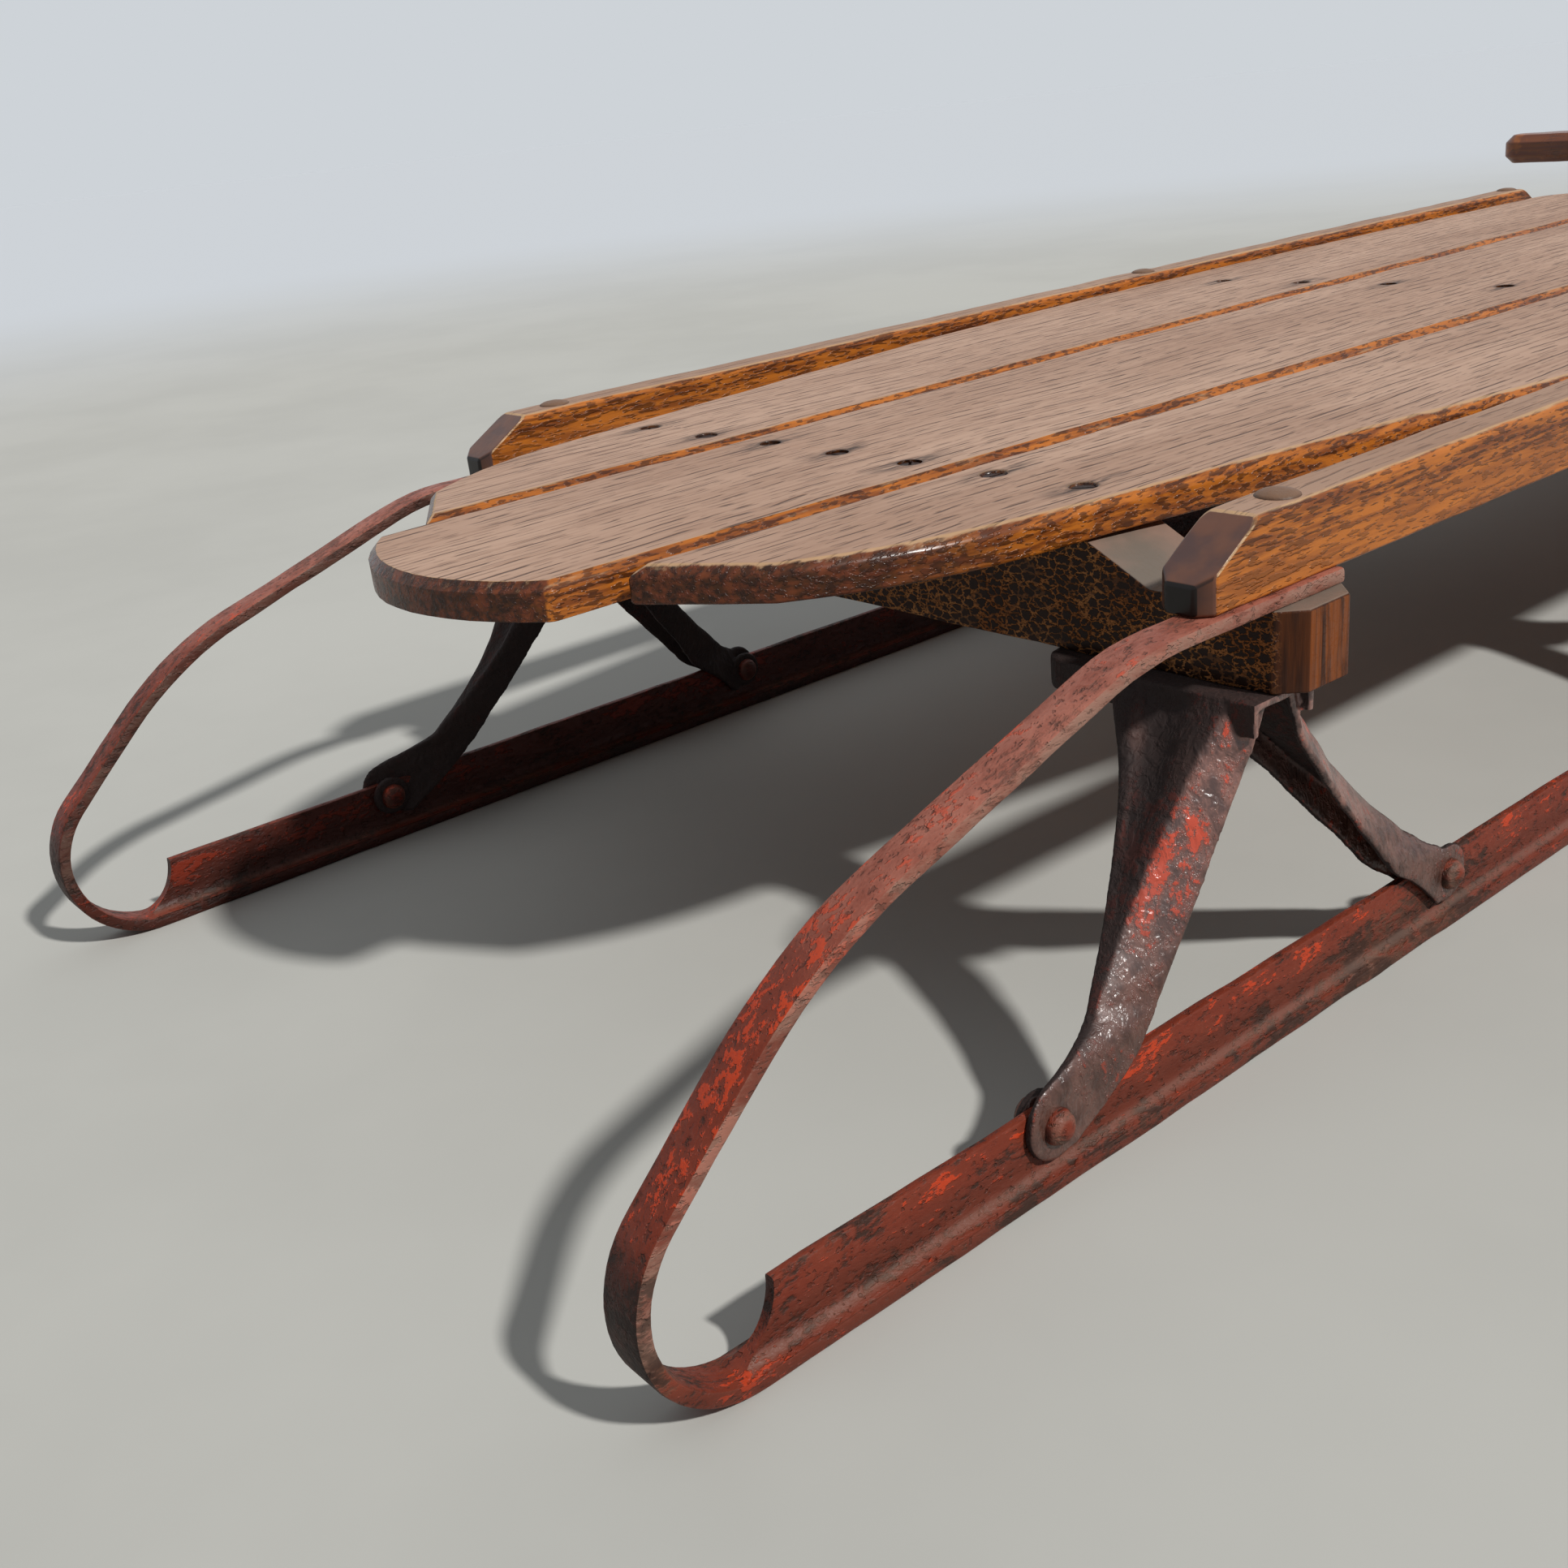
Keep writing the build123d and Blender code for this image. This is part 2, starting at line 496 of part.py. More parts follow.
pieces = {}
pieces["slat_centre"] = slat_centre()
for side, word in ((LEFT, "left"), (RIGHT, "right")):
    pieces["slat_" + word] = slat_side(side)
    pieces["rail_" + word] = rail(side)
    pieces["runner_" + word] = runner(side)
for number, name in enumerate(NAMES[:BOLSTER_COUNT]):
    bolster_x = number * BOLSTER_PITCH
    end_top = RAIL_BOTTOM - (STRIP_THICK if number == 0 else 0)
    pieces["bolster_" + name] = bolster(bolster_x, end_top)
    for side, word in ((LEFT, "left"), (RIGHT, "right")):
        pieces["knee_" + name + "_" + word] = knee(side, bolster_x)
pieces["nose_bar"] = nose_bar()
pieces["pivot_plate"] = pivot_plate(DECK_TOP)
TONGUE_BOTTOM = DECK_TOP + PLATE_THICK + MOVING_GAP
BAR_BOTTOM = TONGUE_BOTTOM + TONGUE_THICK
BAR_TOP = BAR_BOTTOM + BAR_THICK
pieces["steering_tongue"] = steering_tongue(TONGUE_BOTTOM)
pieces["tongue_pin"] = tongue_pin(BAR_BOTTOM)
pieces["steering_bar"] = steering_bar(BAR_BOTTOM)
pieces["pivot_washer"] = pivot_washer(BAR_TOP)
pieces["pivot_bolt"] = pivot_bolt(BAR_TOP + WASHER_THICK + MOVING_GAP)

os.makedirs("parts", exist_ok=True)
for name, piece in pieces.items():
    export_step(Pos(-SLED_MIDDLE, 0, 0) * piece, f"parts/{name}.step")
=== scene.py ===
"""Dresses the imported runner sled: worn oak slats and rails, crackled bolsters, pressed knees and
runners in worn red paint, and their fasteners, all built round the CAD frame."""

import math

import bmesh
import bpy
from mathutils import Matrix, Vector


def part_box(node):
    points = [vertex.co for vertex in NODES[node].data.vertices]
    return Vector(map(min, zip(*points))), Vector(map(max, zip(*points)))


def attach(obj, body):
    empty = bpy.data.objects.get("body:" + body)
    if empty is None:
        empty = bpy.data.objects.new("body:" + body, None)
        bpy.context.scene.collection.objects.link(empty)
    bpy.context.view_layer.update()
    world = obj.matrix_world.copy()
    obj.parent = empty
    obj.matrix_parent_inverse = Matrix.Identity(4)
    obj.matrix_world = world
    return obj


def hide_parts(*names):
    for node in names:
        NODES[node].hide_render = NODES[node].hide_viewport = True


bl_info = {
    "name": "Runner Sled Dresser",
    "version": (1, 0, 0),
    "blender": (4, 5, 0),
    "location": "View3D > Sidebar > Sled",
    "description": "Builds the worn wood, steel and fasteners of a steerable runner sled",
    "category": "Object",
}

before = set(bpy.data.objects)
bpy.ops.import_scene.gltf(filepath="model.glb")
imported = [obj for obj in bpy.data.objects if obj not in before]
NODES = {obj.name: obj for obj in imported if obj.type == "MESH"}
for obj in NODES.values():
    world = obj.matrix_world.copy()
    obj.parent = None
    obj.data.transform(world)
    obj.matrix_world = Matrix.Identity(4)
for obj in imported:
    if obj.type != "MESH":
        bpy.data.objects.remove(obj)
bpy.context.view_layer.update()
SIDES = {"left": 1, "right": -1}
BOLSTER_NAMES = ("rear", "middle", "front")


def middle(node):
    """The middle of a CAD node's box."""
    low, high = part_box(node)
    return (low + high) / 2


BOLSTER_X = [middle("bolster_" + name).x for name in BOLSTER_NAMES]
BOLSTER_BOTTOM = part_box("bolster_rear")[0].z
DECK_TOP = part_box("slat_centre")[1].z
RAIL_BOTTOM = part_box("rail_left")[0].z
RAIL_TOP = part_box("rail_left")[1].z
RAIL_Y = middle("rail_left").y
TRACK_Y = middle("runner_left").y
KNEE_X = [middle(f"knee_{name}_left").x for name in BOLSTER_NAMES]
KNEE_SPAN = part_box("knee_rear_left")
# A knee's rivets: how far in from its ends, how far from its middle, and how high.
RIVET_IN = 0.010
RIVET_X = (KNEE_SPAN[1].x - KNEE_SPAN[0].x) / 2 - RIVET_IN
RIVET_Z = 0.017
# The ears that they hold: how far from the web's middle, and how thick.
EAR_OUT = 0.0027
EAR_THICK = 0.0030
# How far inboard of the track a knee's tab ends, and its nut is.
TAB_LONG = 0.066
NUT_IN = 0.052


# ---- settings


def length(label, words, default):
    """A length setting."""
    return bpy.props.FloatProperty(name=label, description=words, default=default, unit="LENGTH")


def colour(label, words, *levels):
    """A colour setting, given by the usual 0 to 255 values."""
    shares = [level / 255 for level in levels]
    return bpy.props.FloatVectorProperty(
        name=label, description=words, subtype="COLOR", size=3, min=0.0, max=1.0,
        default=[share / 12.92 if share <= 0.04045 else ((share + 0.055) / 1.055) ** 2.4
                 for share in shares])


class SledSizes(bpy.types.PropertyGroup):
    """Sizes of the pieces that the CAD frame doesn't hold."""

    screw_radius: length("Screw radius", "Radius of a deck screw's head", 0.0034)
    screw_sink: length("Screw sink", "Depth of a deck screw's head under the deck", 0.0008)
    bolt_radius: length("Rail bolt radius", "Radius of a rail bolt's round head", 0.0060)
    bolt_rise: length("Rail bolt height", "Height of a rail bolt's round head", 0.0018)
    rivet_radius: length("Rivet radius", "Radius of a knee rivet's head", 0.0049)
    rivet_rise: length("Rivet height", "Height of a knee rivet's head", 0.0042)
    nut_radius: length("Nut radius", "Radius of a knee nut across its corners", 0.0058)
    nut_rise: length("Nut height", "Height of a knee nut", 0.0042)
    wood_wear: length("Wood wear", "How far worn wood strays from true", 0.0009)
    steel_wear: length("Steel wear", "How far beaten steel strays from true", 0.0008)
    knee_sheet: length("Knee sheet", "Thickness of the knees' pressed sheet", 0.0023)


class SledColours(bpy.types.PropertyGroup):
    """Colours of the sled's finishes."""

    deck: colour("Deck", "Dusty top of the worn oak slats", 167, 132, 110)
    deck_light: colour("Deck light", "Paler patches of the worn oak", 188, 154, 132)
    deck_brown: colour("Deck brown", "Browner streaks of the worn oak", 138, 103, 82)
    pore: colour("Pores", "Open pores of the oak", 74, 48, 36)
    bare_edge: colour("Bare edge", "Wood worn bare along the edges", 188, 152, 112)
    amber: colour("Amber", "Old varnish, seen through", 186, 108, 38)
    amber_deep: colour("Deep amber", "Thick old varnish", 124, 66, 28)
    red_brown: colour("Red brown", "Varnish stained red-brown", 104, 52, 32)
    varnish_dark: colour("Dark varnish", "Islands of blackened varnish", 34, 17, 11)
    soot: colour("Soot", "Blackened ends of the rails", 20, 12, 9)
    varnish_purple: colour("Purple varnish", "Glossy dark ends of the rails", 82, 58, 54)
    ramp_grey: colour("Ramp grey", "Bare grey wood on the bolsters' ramps", 112, 102, 92)
    gold: colour("Gold", "Cracks between the varnish islands", 142, 86, 44)
    gold_pale: colour("Pale gold", "Paler cracks between the varnish islands", 178, 124, 76)
    end_grain: colour("End grain", "Dark ends of the boards", 46, 26, 18)
    rail_top: colour("Rail top", "Grey-brown worn tops of the rails", 142, 108, 84)
    paint_red: colour("Red paint", "What is left of the red paint", 188, 62, 28)
    paint_dull: colour("Dull paint", "Stained red paint", 120, 46, 28)
    rust_dark: colour("Dark rust", "Dark rust under the paint", 58, 36, 28)
    rust_mid: colour("Rust", "Brown rust and old primer", 108, 70, 54)
    strip_dust: colour("Dusty strip", "Dusty, dull paint on the strips", 178, 116, 99)
    # Painted shade, with some real grime: this colour darkens the sheltered, inboard and backward
    # faces of the runners and knees.
    grime_and_shade: colour("Grime", "Black-brown grime on sheltered steel", 26, 14, 12)
    rust_pale: colour("Pale rust", "Rubbed, pale rust", 146, 118, 104)
    knee_dark: colour("Dark knee paint", "Dark paint of the knees", 72, 42, 35)
    knee_mid: colour("Knee paint", "Brown-purple paint of the knees", 146, 100, 88)
    floor: colour("Floor", "Pale studio floor", 188, 188, 183)
    far_floor: colour("Far floor", "The floor's far part", 203, 208, 214)
    backdrop: colour("Backdrop", "The pale backdrop over the horizon", 206, 211, 216)


def sizes():
    """The scene's size settings."""
    return bpy.context.scene.sled_sizes


def tint(name):
    """A colour setting with full alpha."""
    return tuple(getattr(bpy.context.scene.sled_colours, name)) + (1.0,)


# ---- hand tools


def drop_selection():
    """Leaves edit mode and deselects everything."""
    if bpy.context.object and bpy.context.object.mode != "OBJECT":
        bpy.ops.object.mode_set(mode="OBJECT")
    bpy.ops.object.select_all(action="DESELECT")


def take(obj):
    """Makes one object the only one selected, and active."""
    drop_selection()
    obj.select_set(True)
    bpy.context.view_layer.objects.active = obj


def everything():
    """In edit mode, selects the whole mesh."""
    bpy.ops.mesh.select_all(action="SELECT")


def edit(obj):
    """Starts edit mode on one object with all of it selected."""
    take(obj)
    bpy.ops.object.mode_set(mode="EDIT")
    everything()


def leave():
    """Ends edit mode."""
    bpy.ops.object.mode_set(mode="OBJECT")


def pick(obj, kind, test):
    """In edit mode, selects only the vertices, edges or faces that pass a test."""
    bpy.ops.mesh.select_mode(type=kind)
    bpy.ops.mesh.select_all(action="DESELECT")
    mesh = bmesh.from_edit_mesh(obj.data)
    for item in {"VERT": mesh.verts, "EDGE": mesh.edges, "FACE": mesh.faces}[kind]:
        if test(item):
            item.select_set(True)
    mesh.select_flush_mode()
    bmesh.update_edit_mesh(obj.data)


def edge_middle(edge):
    """The middle of an edge."""
    return (edge.verts[0].co + edge.verts[1].co) / 2


def pull(along, up):
    """In edit mode, extrudes what is selected along the sled and upwards."""
    bpy.ops.mesh.extrude_region_move(TRANSFORM_OT_translate={"value": (along, 0.0, up)})


def start(add, name, **settings):
    """Adds a primitive by its operator, on its own, with its place taken into its mesh."""
    drop_selection()
    add(**settings)
    obj = bpy.context.object
    obj.name = obj.data.name = name
    bpy.ops.object.transform_apply(location=True, rotation=True, scale=True)
    return obj


def cylinder(name, vertices, radius, depth, place=(0.0, 0.0, 0.0), lean=0.0):
    """A cylinder that stands, or leans over towards the sled's side."""
    return start(bpy.ops.mesh.primitive_cylinder_add, name, vertices=vertices, radius=radius,
                 depth=depth, location=place, rotation=(lean, 0.0, 0.0))


def block(name, centre, size):
    """A box round a point, to be cut or cut with."""
    box = start(bpy.ops.mesh.primitive_cube_add, name, size=1.0, location=centre)
    edit(box)
    bpy.ops.transform.resize(value=size, center_override=centre)
    leave()
    return box


def copy_of_piece(obj, name, move=(0.0, 0.0, 0.0)):
    """A copy of a piece with a mesh of its own, moved from where the piece is."""
    twin = bpy.data.objects.new(name, obj.data.copy())
    bpy.context.scene.collection.objects.link(twin)
    twin.data.transform(Matrix.Translation(move))
    return twin


def copy_of_node(node, name):
    """A merged copy of a CAD node, with its flat faces made whole."""
    obj = copy_of_piece(NODES[node], name)
    edit(obj)
    bpy.ops.mesh.remove_doubles(threshold=0.000002)
    bpy.ops.mesh.dissolve_limited(angle_limit=math.radians(0.5))
    leave()
    return obj


def use(obj, kind, **settings):
    """Adds a modifier and applies it."""
    take(obj)
    modifier = obj.modifiers.new(kind.title(), kind)
    for name, value in settings.items():
        setattr(modifier, name, value)
    bpy.ops.object.modifier_apply(modifier=modifier.name)


def cut_out(obj, cutter):
    """Cuts one piece's space out of another, and throws it away."""
    use(obj, "BOOLEAN", object=cutter, operation="DIFFERENCE", solver="EXACT")
    bpy.data.objects.remove(cutter)


def ease(obj, width, segments, angle):
    """Rounds every edge that is sharper than an angle."""
    use(obj, "BEVEL", width=width, segments=segments, limit_method="ANGLE",
        angle_limit=math.radians(angle), miter_outer="MITER_ARC")


def cut_across(obj, axis, step):
    """Cuts a piece across an axis at even steps, so that it can be worn out of true."""
    places = [vertex.co[axis] for vertex in obj.data.vertices]
    low = min(places)
    size = max(places) - low
    count = int(size / step)
    normal = Vector((axis == 0, axis == 1, axis == 2))
    edit(obj)
    for number in range(1, count):
        everything()
        bpy.ops.mesh.bisect(plane_co=normal * (low + size * number / count), plane_no=normal)
    leave()


def smooth(obj, angle, flat=False):
    """Smooth shading, sharp above an angle. Big flat faces can keep a flat look."""
    take(obj)
    bpy.ops.object.shade_smooth_by_angle(angle=math.radians(angle))
    if flat:
        use(obj, "WEIGHTED_NORMAL", keep_sharp=True, weight=80)


def wear(obj, amount, size, angle, flat=False):
    """Pushes a surface in and out by soft noise of one size, then shades it smooth."""
    texture = bpy.data.textures.new(obj.name + "_wear", "CLOUDS")
    texture.noise_scale = size
    texture.noise_depth = 2
    use(obj, "DISPLACE", texture=texture, strength=amount, mid_level=0.5,
        texture_coords="LOCAL")
    smooth(obj, angle, flat)


def wear_wood(obj, rounding, axis, step, size=0.03):
    """Rounds a wooden piece's edges by a width, segments and angle, and wears it by soft noise."""
    ease(obj, *rounding)
    cut_across(obj, axis, step)
    wear(obj, sizes().wood_wear, size, 50, flat=True)


def join(parts, name):
    """Joins pieces into the first one."""
    take(parts[0])
    for part in parts:
        part.select_set(True)
    bpy.ops.object.join()
    parts[0].name = parts[0].data.name = name
    return parts[0]


def place_piece(obj, body, slot, finish, nodes=()):
    """Gives a finished piece its finish and its body, and hides the CAD nodes it stands for."""
    obj.data.materials.clear()
    obj.data.materials.append(bpy.data.materials.get(finish.__name__) or finish())
    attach(obj, body)
    if nodes:
        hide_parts(*nodes)


# ---- finishes


class Value:
    """What a node gives. Reckoning with it adds the nodes that do so."""

    def __init__(self, tree, socket):
        self.tree = tree
        self.socket = socket

    def calc(self, operation, other=0.0):
        return self.tree.calc(operation, self, other)

    def __add__(self, other):
        return self.calc("ADD", other)

    def __sub__(self, other):
        return self.calc("SUBTRACT", other)

    def __rsub__(self, other):
        return self.tree.calc("SUBTRACT", other, self)

    def __mul__(self, other):
        return self.calc("MULTIPLY", other)

    def __abs__(self):
        return self.calc("ABSOLUTE")

    def ramp(self, low, high, out_low=0.0, out_high=1.0):
        return self.tree.node("ShaderNodeMapRange", {
            "Value": self, "From Min": low, "From Max": high, "To Min": out_low,
            "To Max": out_high}, interpolation_type="SMOOTHSTEP")

    def fall(self, low, high):
        return self.ramp(low, high, 1.0, 0.0)

    def mix(self, share, over):
        return self.tree.mix(share, self, over)


class NodeTree:
    """A tree of nodes. Each method adds a node and gives back what it gives."""

    def __init__(self, tree):
        self.nodes = tree.nodes
        self.links = tree.links

    def feed(self, socket, value):
        """Feeds a node's value, a colour setting's name or a plain value into a socket."""
        if isinstance(value, Value):
            self.links.new(value.socket, socket)
        else:
            socket.default_value = tint(value) if isinstance(value, str) else value

    def node(self, kind, feeds, output=0, **settings):
        made = self.nodes.new(kind)
        for name, value in settings.items():
            setattr(made, name, value)
        for name, value in feeds.items():
            self.feed(made.inputs[name], value)
        return Value(self, made.outputs[output])

    def calc(self, operation, first, second=0.0):
        return self.node("ShaderNodeMath", {0: first, 1: second}, operation=operation)

    def either(self, first, second):
        return self.calc("MAXIMUM", first, second)

    def vectors(self, operation, feeds, output=0):
        return self.node("ShaderNodeVectorMath", feeds, output, operation=operation)

    def mix(self, share, first, second):
        return self.node("ShaderNodeMix", {0: share, 6: first, 7: second}, 2, data_type="RGBA")


class Finish(NodeTree):
    """One material's nodes, with a point's place and the way it faces to start from."""

    def __init__(self, name):
        self.material = bpy.data.materials.new(name)
        self.material.use_nodes = True
        super().__init__(self.material.node_tree)
        self.shader = self.nodes["Principled BSDF"]
        self.place = self.node("ShaderNodeTexCoord", {}, "Object")
        self.facing = self.node("ShaderNodeTexCoord", {}, "Normal")

    def split(self, vector):
        made = self.nodes.new("ShaderNodeSeparateXYZ")
        self.feed(made.inputs[0], vector)
        return [Value(self, output) for output in made.outputs]

    def stretch(self, scale, source=None):
        return self.node("ShaderNodeMapping", {"Vector": source or self.place, "Scale": scale})

    def noise(self, vector, scale, detail=2.0, rough=0.5, twist=0.0):
        return self.node("ShaderNodeTexNoise", {
            "Vector": vector, "Scale": scale, "Detail": detail, "Roughness": rough,
            "Distortion": twist})

    def streaks(self, scale, detail, rough=0.5, source=None):
        """Noise that is drawn out by a scale along each axis."""
        return self.noise(self.stretch(scale, source), 1.0, detail, rough)

    def distance(self, x, y):
        flat = self.node("ShaderNodeCombineXYZ", {0: x, 1: y})
        return self.vectors("LENGTH", {0: flat}, "Value")

    def blend(self, share, first, second):
        """Mixes two numbers, as mix does with two colours."""
        return self.node("ShaderNodeMix", {0: share, 2: first, 3: second})

    def warp(self, vector, scale, amount):
        """A vector pushed about by noise."""
        push = self.node("ShaderNodeTexNoise", {
            "Vector": vector, "Scale": scale, "Detail": 2.0}, "Color")
        centred = self.vectors("SUBTRACT", {0: push, 1: (0.5, 0.5, 0.5)})
        scaled = self.vectors("SCALE", {0: centred, "Scale": amount})
        return self.vectors("ADD", {0: vector, 1: scaled})

    def bump(self, height, distance, strength, below=None):
        feeds = {"Height": height, "Distance": distance, "Strength": strength}
        if below:
            feeds["Normal"] = below
        return self.node("ShaderNodeBump", feeds)

    def finish(self, base, roughness, normal=None, coat=0.0, coat_rough=0.1, specular=0.5):
        feeds = {"Base Color": base, "Roughness": roughness, "Coat Weight": coat,
                 "Coat Roughness": coat_rough, "Specular IOR Level": specular}
        if normal:
            feeds["Normal"] = normal
        for name, value in feeds.items():
            self.feed(self.shader.inputs[name], value)
        return self.material


def crackle(fin, stretch, scale, warp):
    """Varnish that has drawn up into islands: 1 on an island, 0 in a crack."""
    vector = fin.warp(fin.stretch(stretch), 2.5 * scale, warp / scale)
    edge = fin.node("ShaderNodeTexVoronoi", {
        "Vector": vector, "Scale": scale, "Randomness": 1.0}, feature="DISTANCE_TO_EDGE")
    return edge.ramp(0.015, 0.125)


def pore_lines(fin, grain, spacing, part, dash):
    """Rows of open pores that follow the growth lines, broken into dashes."""
    _, across, _ = fin.split(grain)
    sway = fin.streaks((3, 14, 14), 2.0, source=grain)
    wobble = fin.streaks((60, 200, 60), 1.0, source=grain)
    row = across * (1 / spacing) + sway * 4.0 + wobble * 0.35
    thin = abs(row.calc("FRACT") - 0.5).fall(part * 0.5, part)
    dashes = fin.streaks((1 / dash, 160, 40), 1.0, source=grain)
    return thin * dashes.ramp(0.45, 0.56)


def oak_top(fin):
    """Worn oak that runs along X, seen from above: (colour, height)."""
    grain = fin.warp(fin.place, 5.0, 0.012)
    lines = pore_lines(fin, grain, 0.0058, 0.085, 0.017)
    small = pore_lines(fin, grain, 0.0031, 0.10, 0.008)
    pores = fin.either(lines, small * 0.62)
    streak = fin.streaks((9, 420, 420), 3.0, 0.6, grain)
    dust = fin.streaks((6, 18, 18), 4.0, 0.6)
    base = fin.mix(dust.ramp(0.3, 0.7), "deck", "deck_light")
    base = base.mix(streak.ramp(0.42, 0.72, 0.0, 0.55), "deck_brown")
    return base.mix(pores * 0.88, "pore"), streak * 0.4 - pores


def old_varnish(fin, blot_length, darkness):
    """Amber varnish with dark streaks and blots along X: (colour, height)."""
    streak = fin.streaks((32, 480, 480), 4.0, 0.62)
    blots = fin.streaks((1 / blot_length, 860, 860), 2.0)
    wide = fin.streaks((14, 70, 70), 3.0, 0.6)
    base = fin.mix(streak.ramp(0.38, 0.62), "amber", "amber_deep")
    base = base.mix(wide.ramp(0.50, 0.72, 0.0, 0.6), "amber_deep")
    dark = (blots * 0.75 + streak * 0.25).ramp(0.50, 0.57)
    return base.mix(dark * darkness, "varnish_dark"), dark + streak * 0.3


def worn_through(up, ragged, swing, low):
    """Where a level surface has lost its varnish, with a ragged border."""
    return (up + (ragged - 0.5) * swing).ramp(low, 0.90)


def screw_places():
    """Where the deck's screws are: (x, y) in three rows over the bolsters."""
    rows = ((0.0, (0.0, 0.0336, 0.069, 0.1029)),
            (0.0032, (0.028, 0.074, 0.1187)),
            (0.0, (0.028, 0.074, 0.1187)))
    return [(bolster_x + ahead, y * sign)
            for bolster_x, (ahead, across) in zip(BOLSTER_X, rows)
            for y in across for sign in ((1, -1) if y else (1,))]


def screw_stains(fin, x, y):
    """Dark rings and smears along the grain round every deck screw."""
    ragged = fin.streaks((90, 420, 420), 3.0, 0.6).ramp(0.35, 0.62)
    stain = 0.0
    for place_x, place_y in sorted(set((px, abs(py)) for px, py in screw_places())):
        across = abs(y) - place_y
        along = x - place_x
        ring = fin.distance(along, across).fall(0.0034, 0.0062)
        smear = fin.distance(along * 0.33, across).ramp(0.002, 0.0075, 0.9, 0.0)
        stain = fin.either(stain, fin.either(ring, smear * ragged))
    return stain


def worn_oak():
    """The slats: dusty top, bare edges, amber varnish on the sides, brown tails."""
    fin = Finish("worn_oak")
    x, y, _ = fin.split(fin.place)
    _, side_way, up = fin.split(fin.facing)
    top, top_height = oak_top(fin)
    side, side_height = old_varnish(fin, 0.0040, 0.65)
    streak = fin.streaks((16, 380, 380), 3.0, 0.55)
    brown = fin.mix(streak.ramp(0.40, 0.66), "end_grain", "red_brown")
    tail = x.fall(BOLSTER_X[0] - 0.085, BOLSTER_X[0] - 0.020)
    inside = abs(y).fall(0.056, 0.062) * abs(side_way).ramp(0.55, 0.75)
    side = side.mix(tail * (1.0 - inside) * 0.92, brown)
    ragged = fin.streaks((50, 330, 330), 4.0, 0.65)
    worn_off = worn_through(up, ragged, 0.55, 0.74)
    top = top.mix(up.fall(0.955, 0.998) * 0.7, "bare_edge")
    base = side.mix(worn_off, top).mix(screw_stains(fin, x, y) * 0.9, "varnish_dark")
    rough = fin.blend(worn_off, 0.25, 0.55)
    height = fin.blend(worn_off, side_height * 0.6, top_height)
    return fin.finish(base, rough, fin.bump(height, 0.0004, 0.8), specular=0.26)


def rail_varnish():
    """The rails: streaky amber sides, worn grey-brown tops, dark glossy ends."""
    fin = Finish("rail_varnish")
    _, _, z = fin.split(fin.place)
    end_way, _, up = fin.split(fin.facing)
    top, top_height = oak_top(fin)
    side, side_height = old_varnish(fin, 0.0055, 0.6)
    side = side.mix(z.fall(RAIL_BOTTOM + 0.006, RAIL_BOTTOM + 0.016) * 0.35, "amber")
    ragged = fin.streaks((36, 300, 300), 4.0, 0.65)
    worn_off = worn_through(up, ragged, 0.8, 0.70)
    rim = up.ramp(0.35, 0.80) * up.fall(0.90, 0.995)
    base = side.mix(worn_off, top.mix(0.45, "rail_top").mix(rim * 0.8, "bare_edge"))
    lean = abs(end_way)
    sloped = lean.ramp(0.34, 0.46)
    cloudy = fin.noise(fin.place, 90.0, 3.0)
    slope = fin.mix(cloudy.ramp(0.35, 0.65), "varnish_purple", "rust_mid")
    arris = lean.ramp(0.06, 0.16) * lean.fall(0.40, 0.50)
    arris = arris * up.ramp(0.03, 0.15) * ragged.ramp(0.35, 0.55, 0.2, 0.9)
    base = base.mix(sloped, slope).mix(arris, "bare_edge").mix(lean.ramp(0.66, 0.80), "soot")
    rough = fin.blend(sloped, fin.blend(worn_off, 0.30, 0.55), 0.28)
    height = fin.blend(sloped, fin.blend(worn_off, side_height, top_height), cloudy)
    return fin.finish(base, rough, fin.bump(height, 0.00035, 0.8), specular=0.3)


def bolster_varnish():
    """The bolsters: blackened varnish islands over gold cracks, bare on the ramps."""
    fin = Finish("bolster_varnish")
    _, y, _ = fin.split(fin.place)
    _, side_way, up = fin.split(fin.facing)
    blots = fin.streaks((130, 60, 130), 4.0, 0.7)
    islands = fin.either(crackle(fin, (1.0, 0.62, 1.0), 430.0, 0.8),
                         blots.ramp(0.50, 0.62, 0.0, 0.75))
    patch = fin.noise(fin.place, 28.0, 4.0, 0.6)
    cracks = fin.mix(patch.ramp(0.35, 0.65), "gold", "gold_pale")
    base = cracks.mix(islands, fin.mix(patch.ramp(0.4, 0.7), "varnish_dark", "end_grain"))
    # the ends, where the grain runs out in ribs
    out = abs(y).ramp(TRACK_Y + 0.004, TRACK_Y + 0.0075)
    ribs = fin.streaks((420, 420, 30), 3.0, 0.6)
    end = fin.mix(ribs.ramp(0.40, 0.66), "amber_deep", "end_grain")
    end = end.mix(patch.ramp(0.42, 0.62, 0.1, 0.75), "rust_mid")
    sloped = abs(side_way).ramp(0.3, 0.5) * abs(side_way).fall(0.9, 0.98)
    base = base.mix(out, end.mix(sloped * 0.7, "end_grain"))
    level = up.ramp(0.6, 0.9)
    base = base.mix(level, fin.mix(patch.ramp(0.3, 0.7), "ramp_grey", "rust_pale"))
    rough = islands.ramp(0.0, 1.0, 0.6, 0.3)
    height = fin.blend(level, fin.blend(out, islands, ribs), patch)
    return fin.finish(base, rough, fin.bump(height, 0.0005, 0.9), specular=0.12)


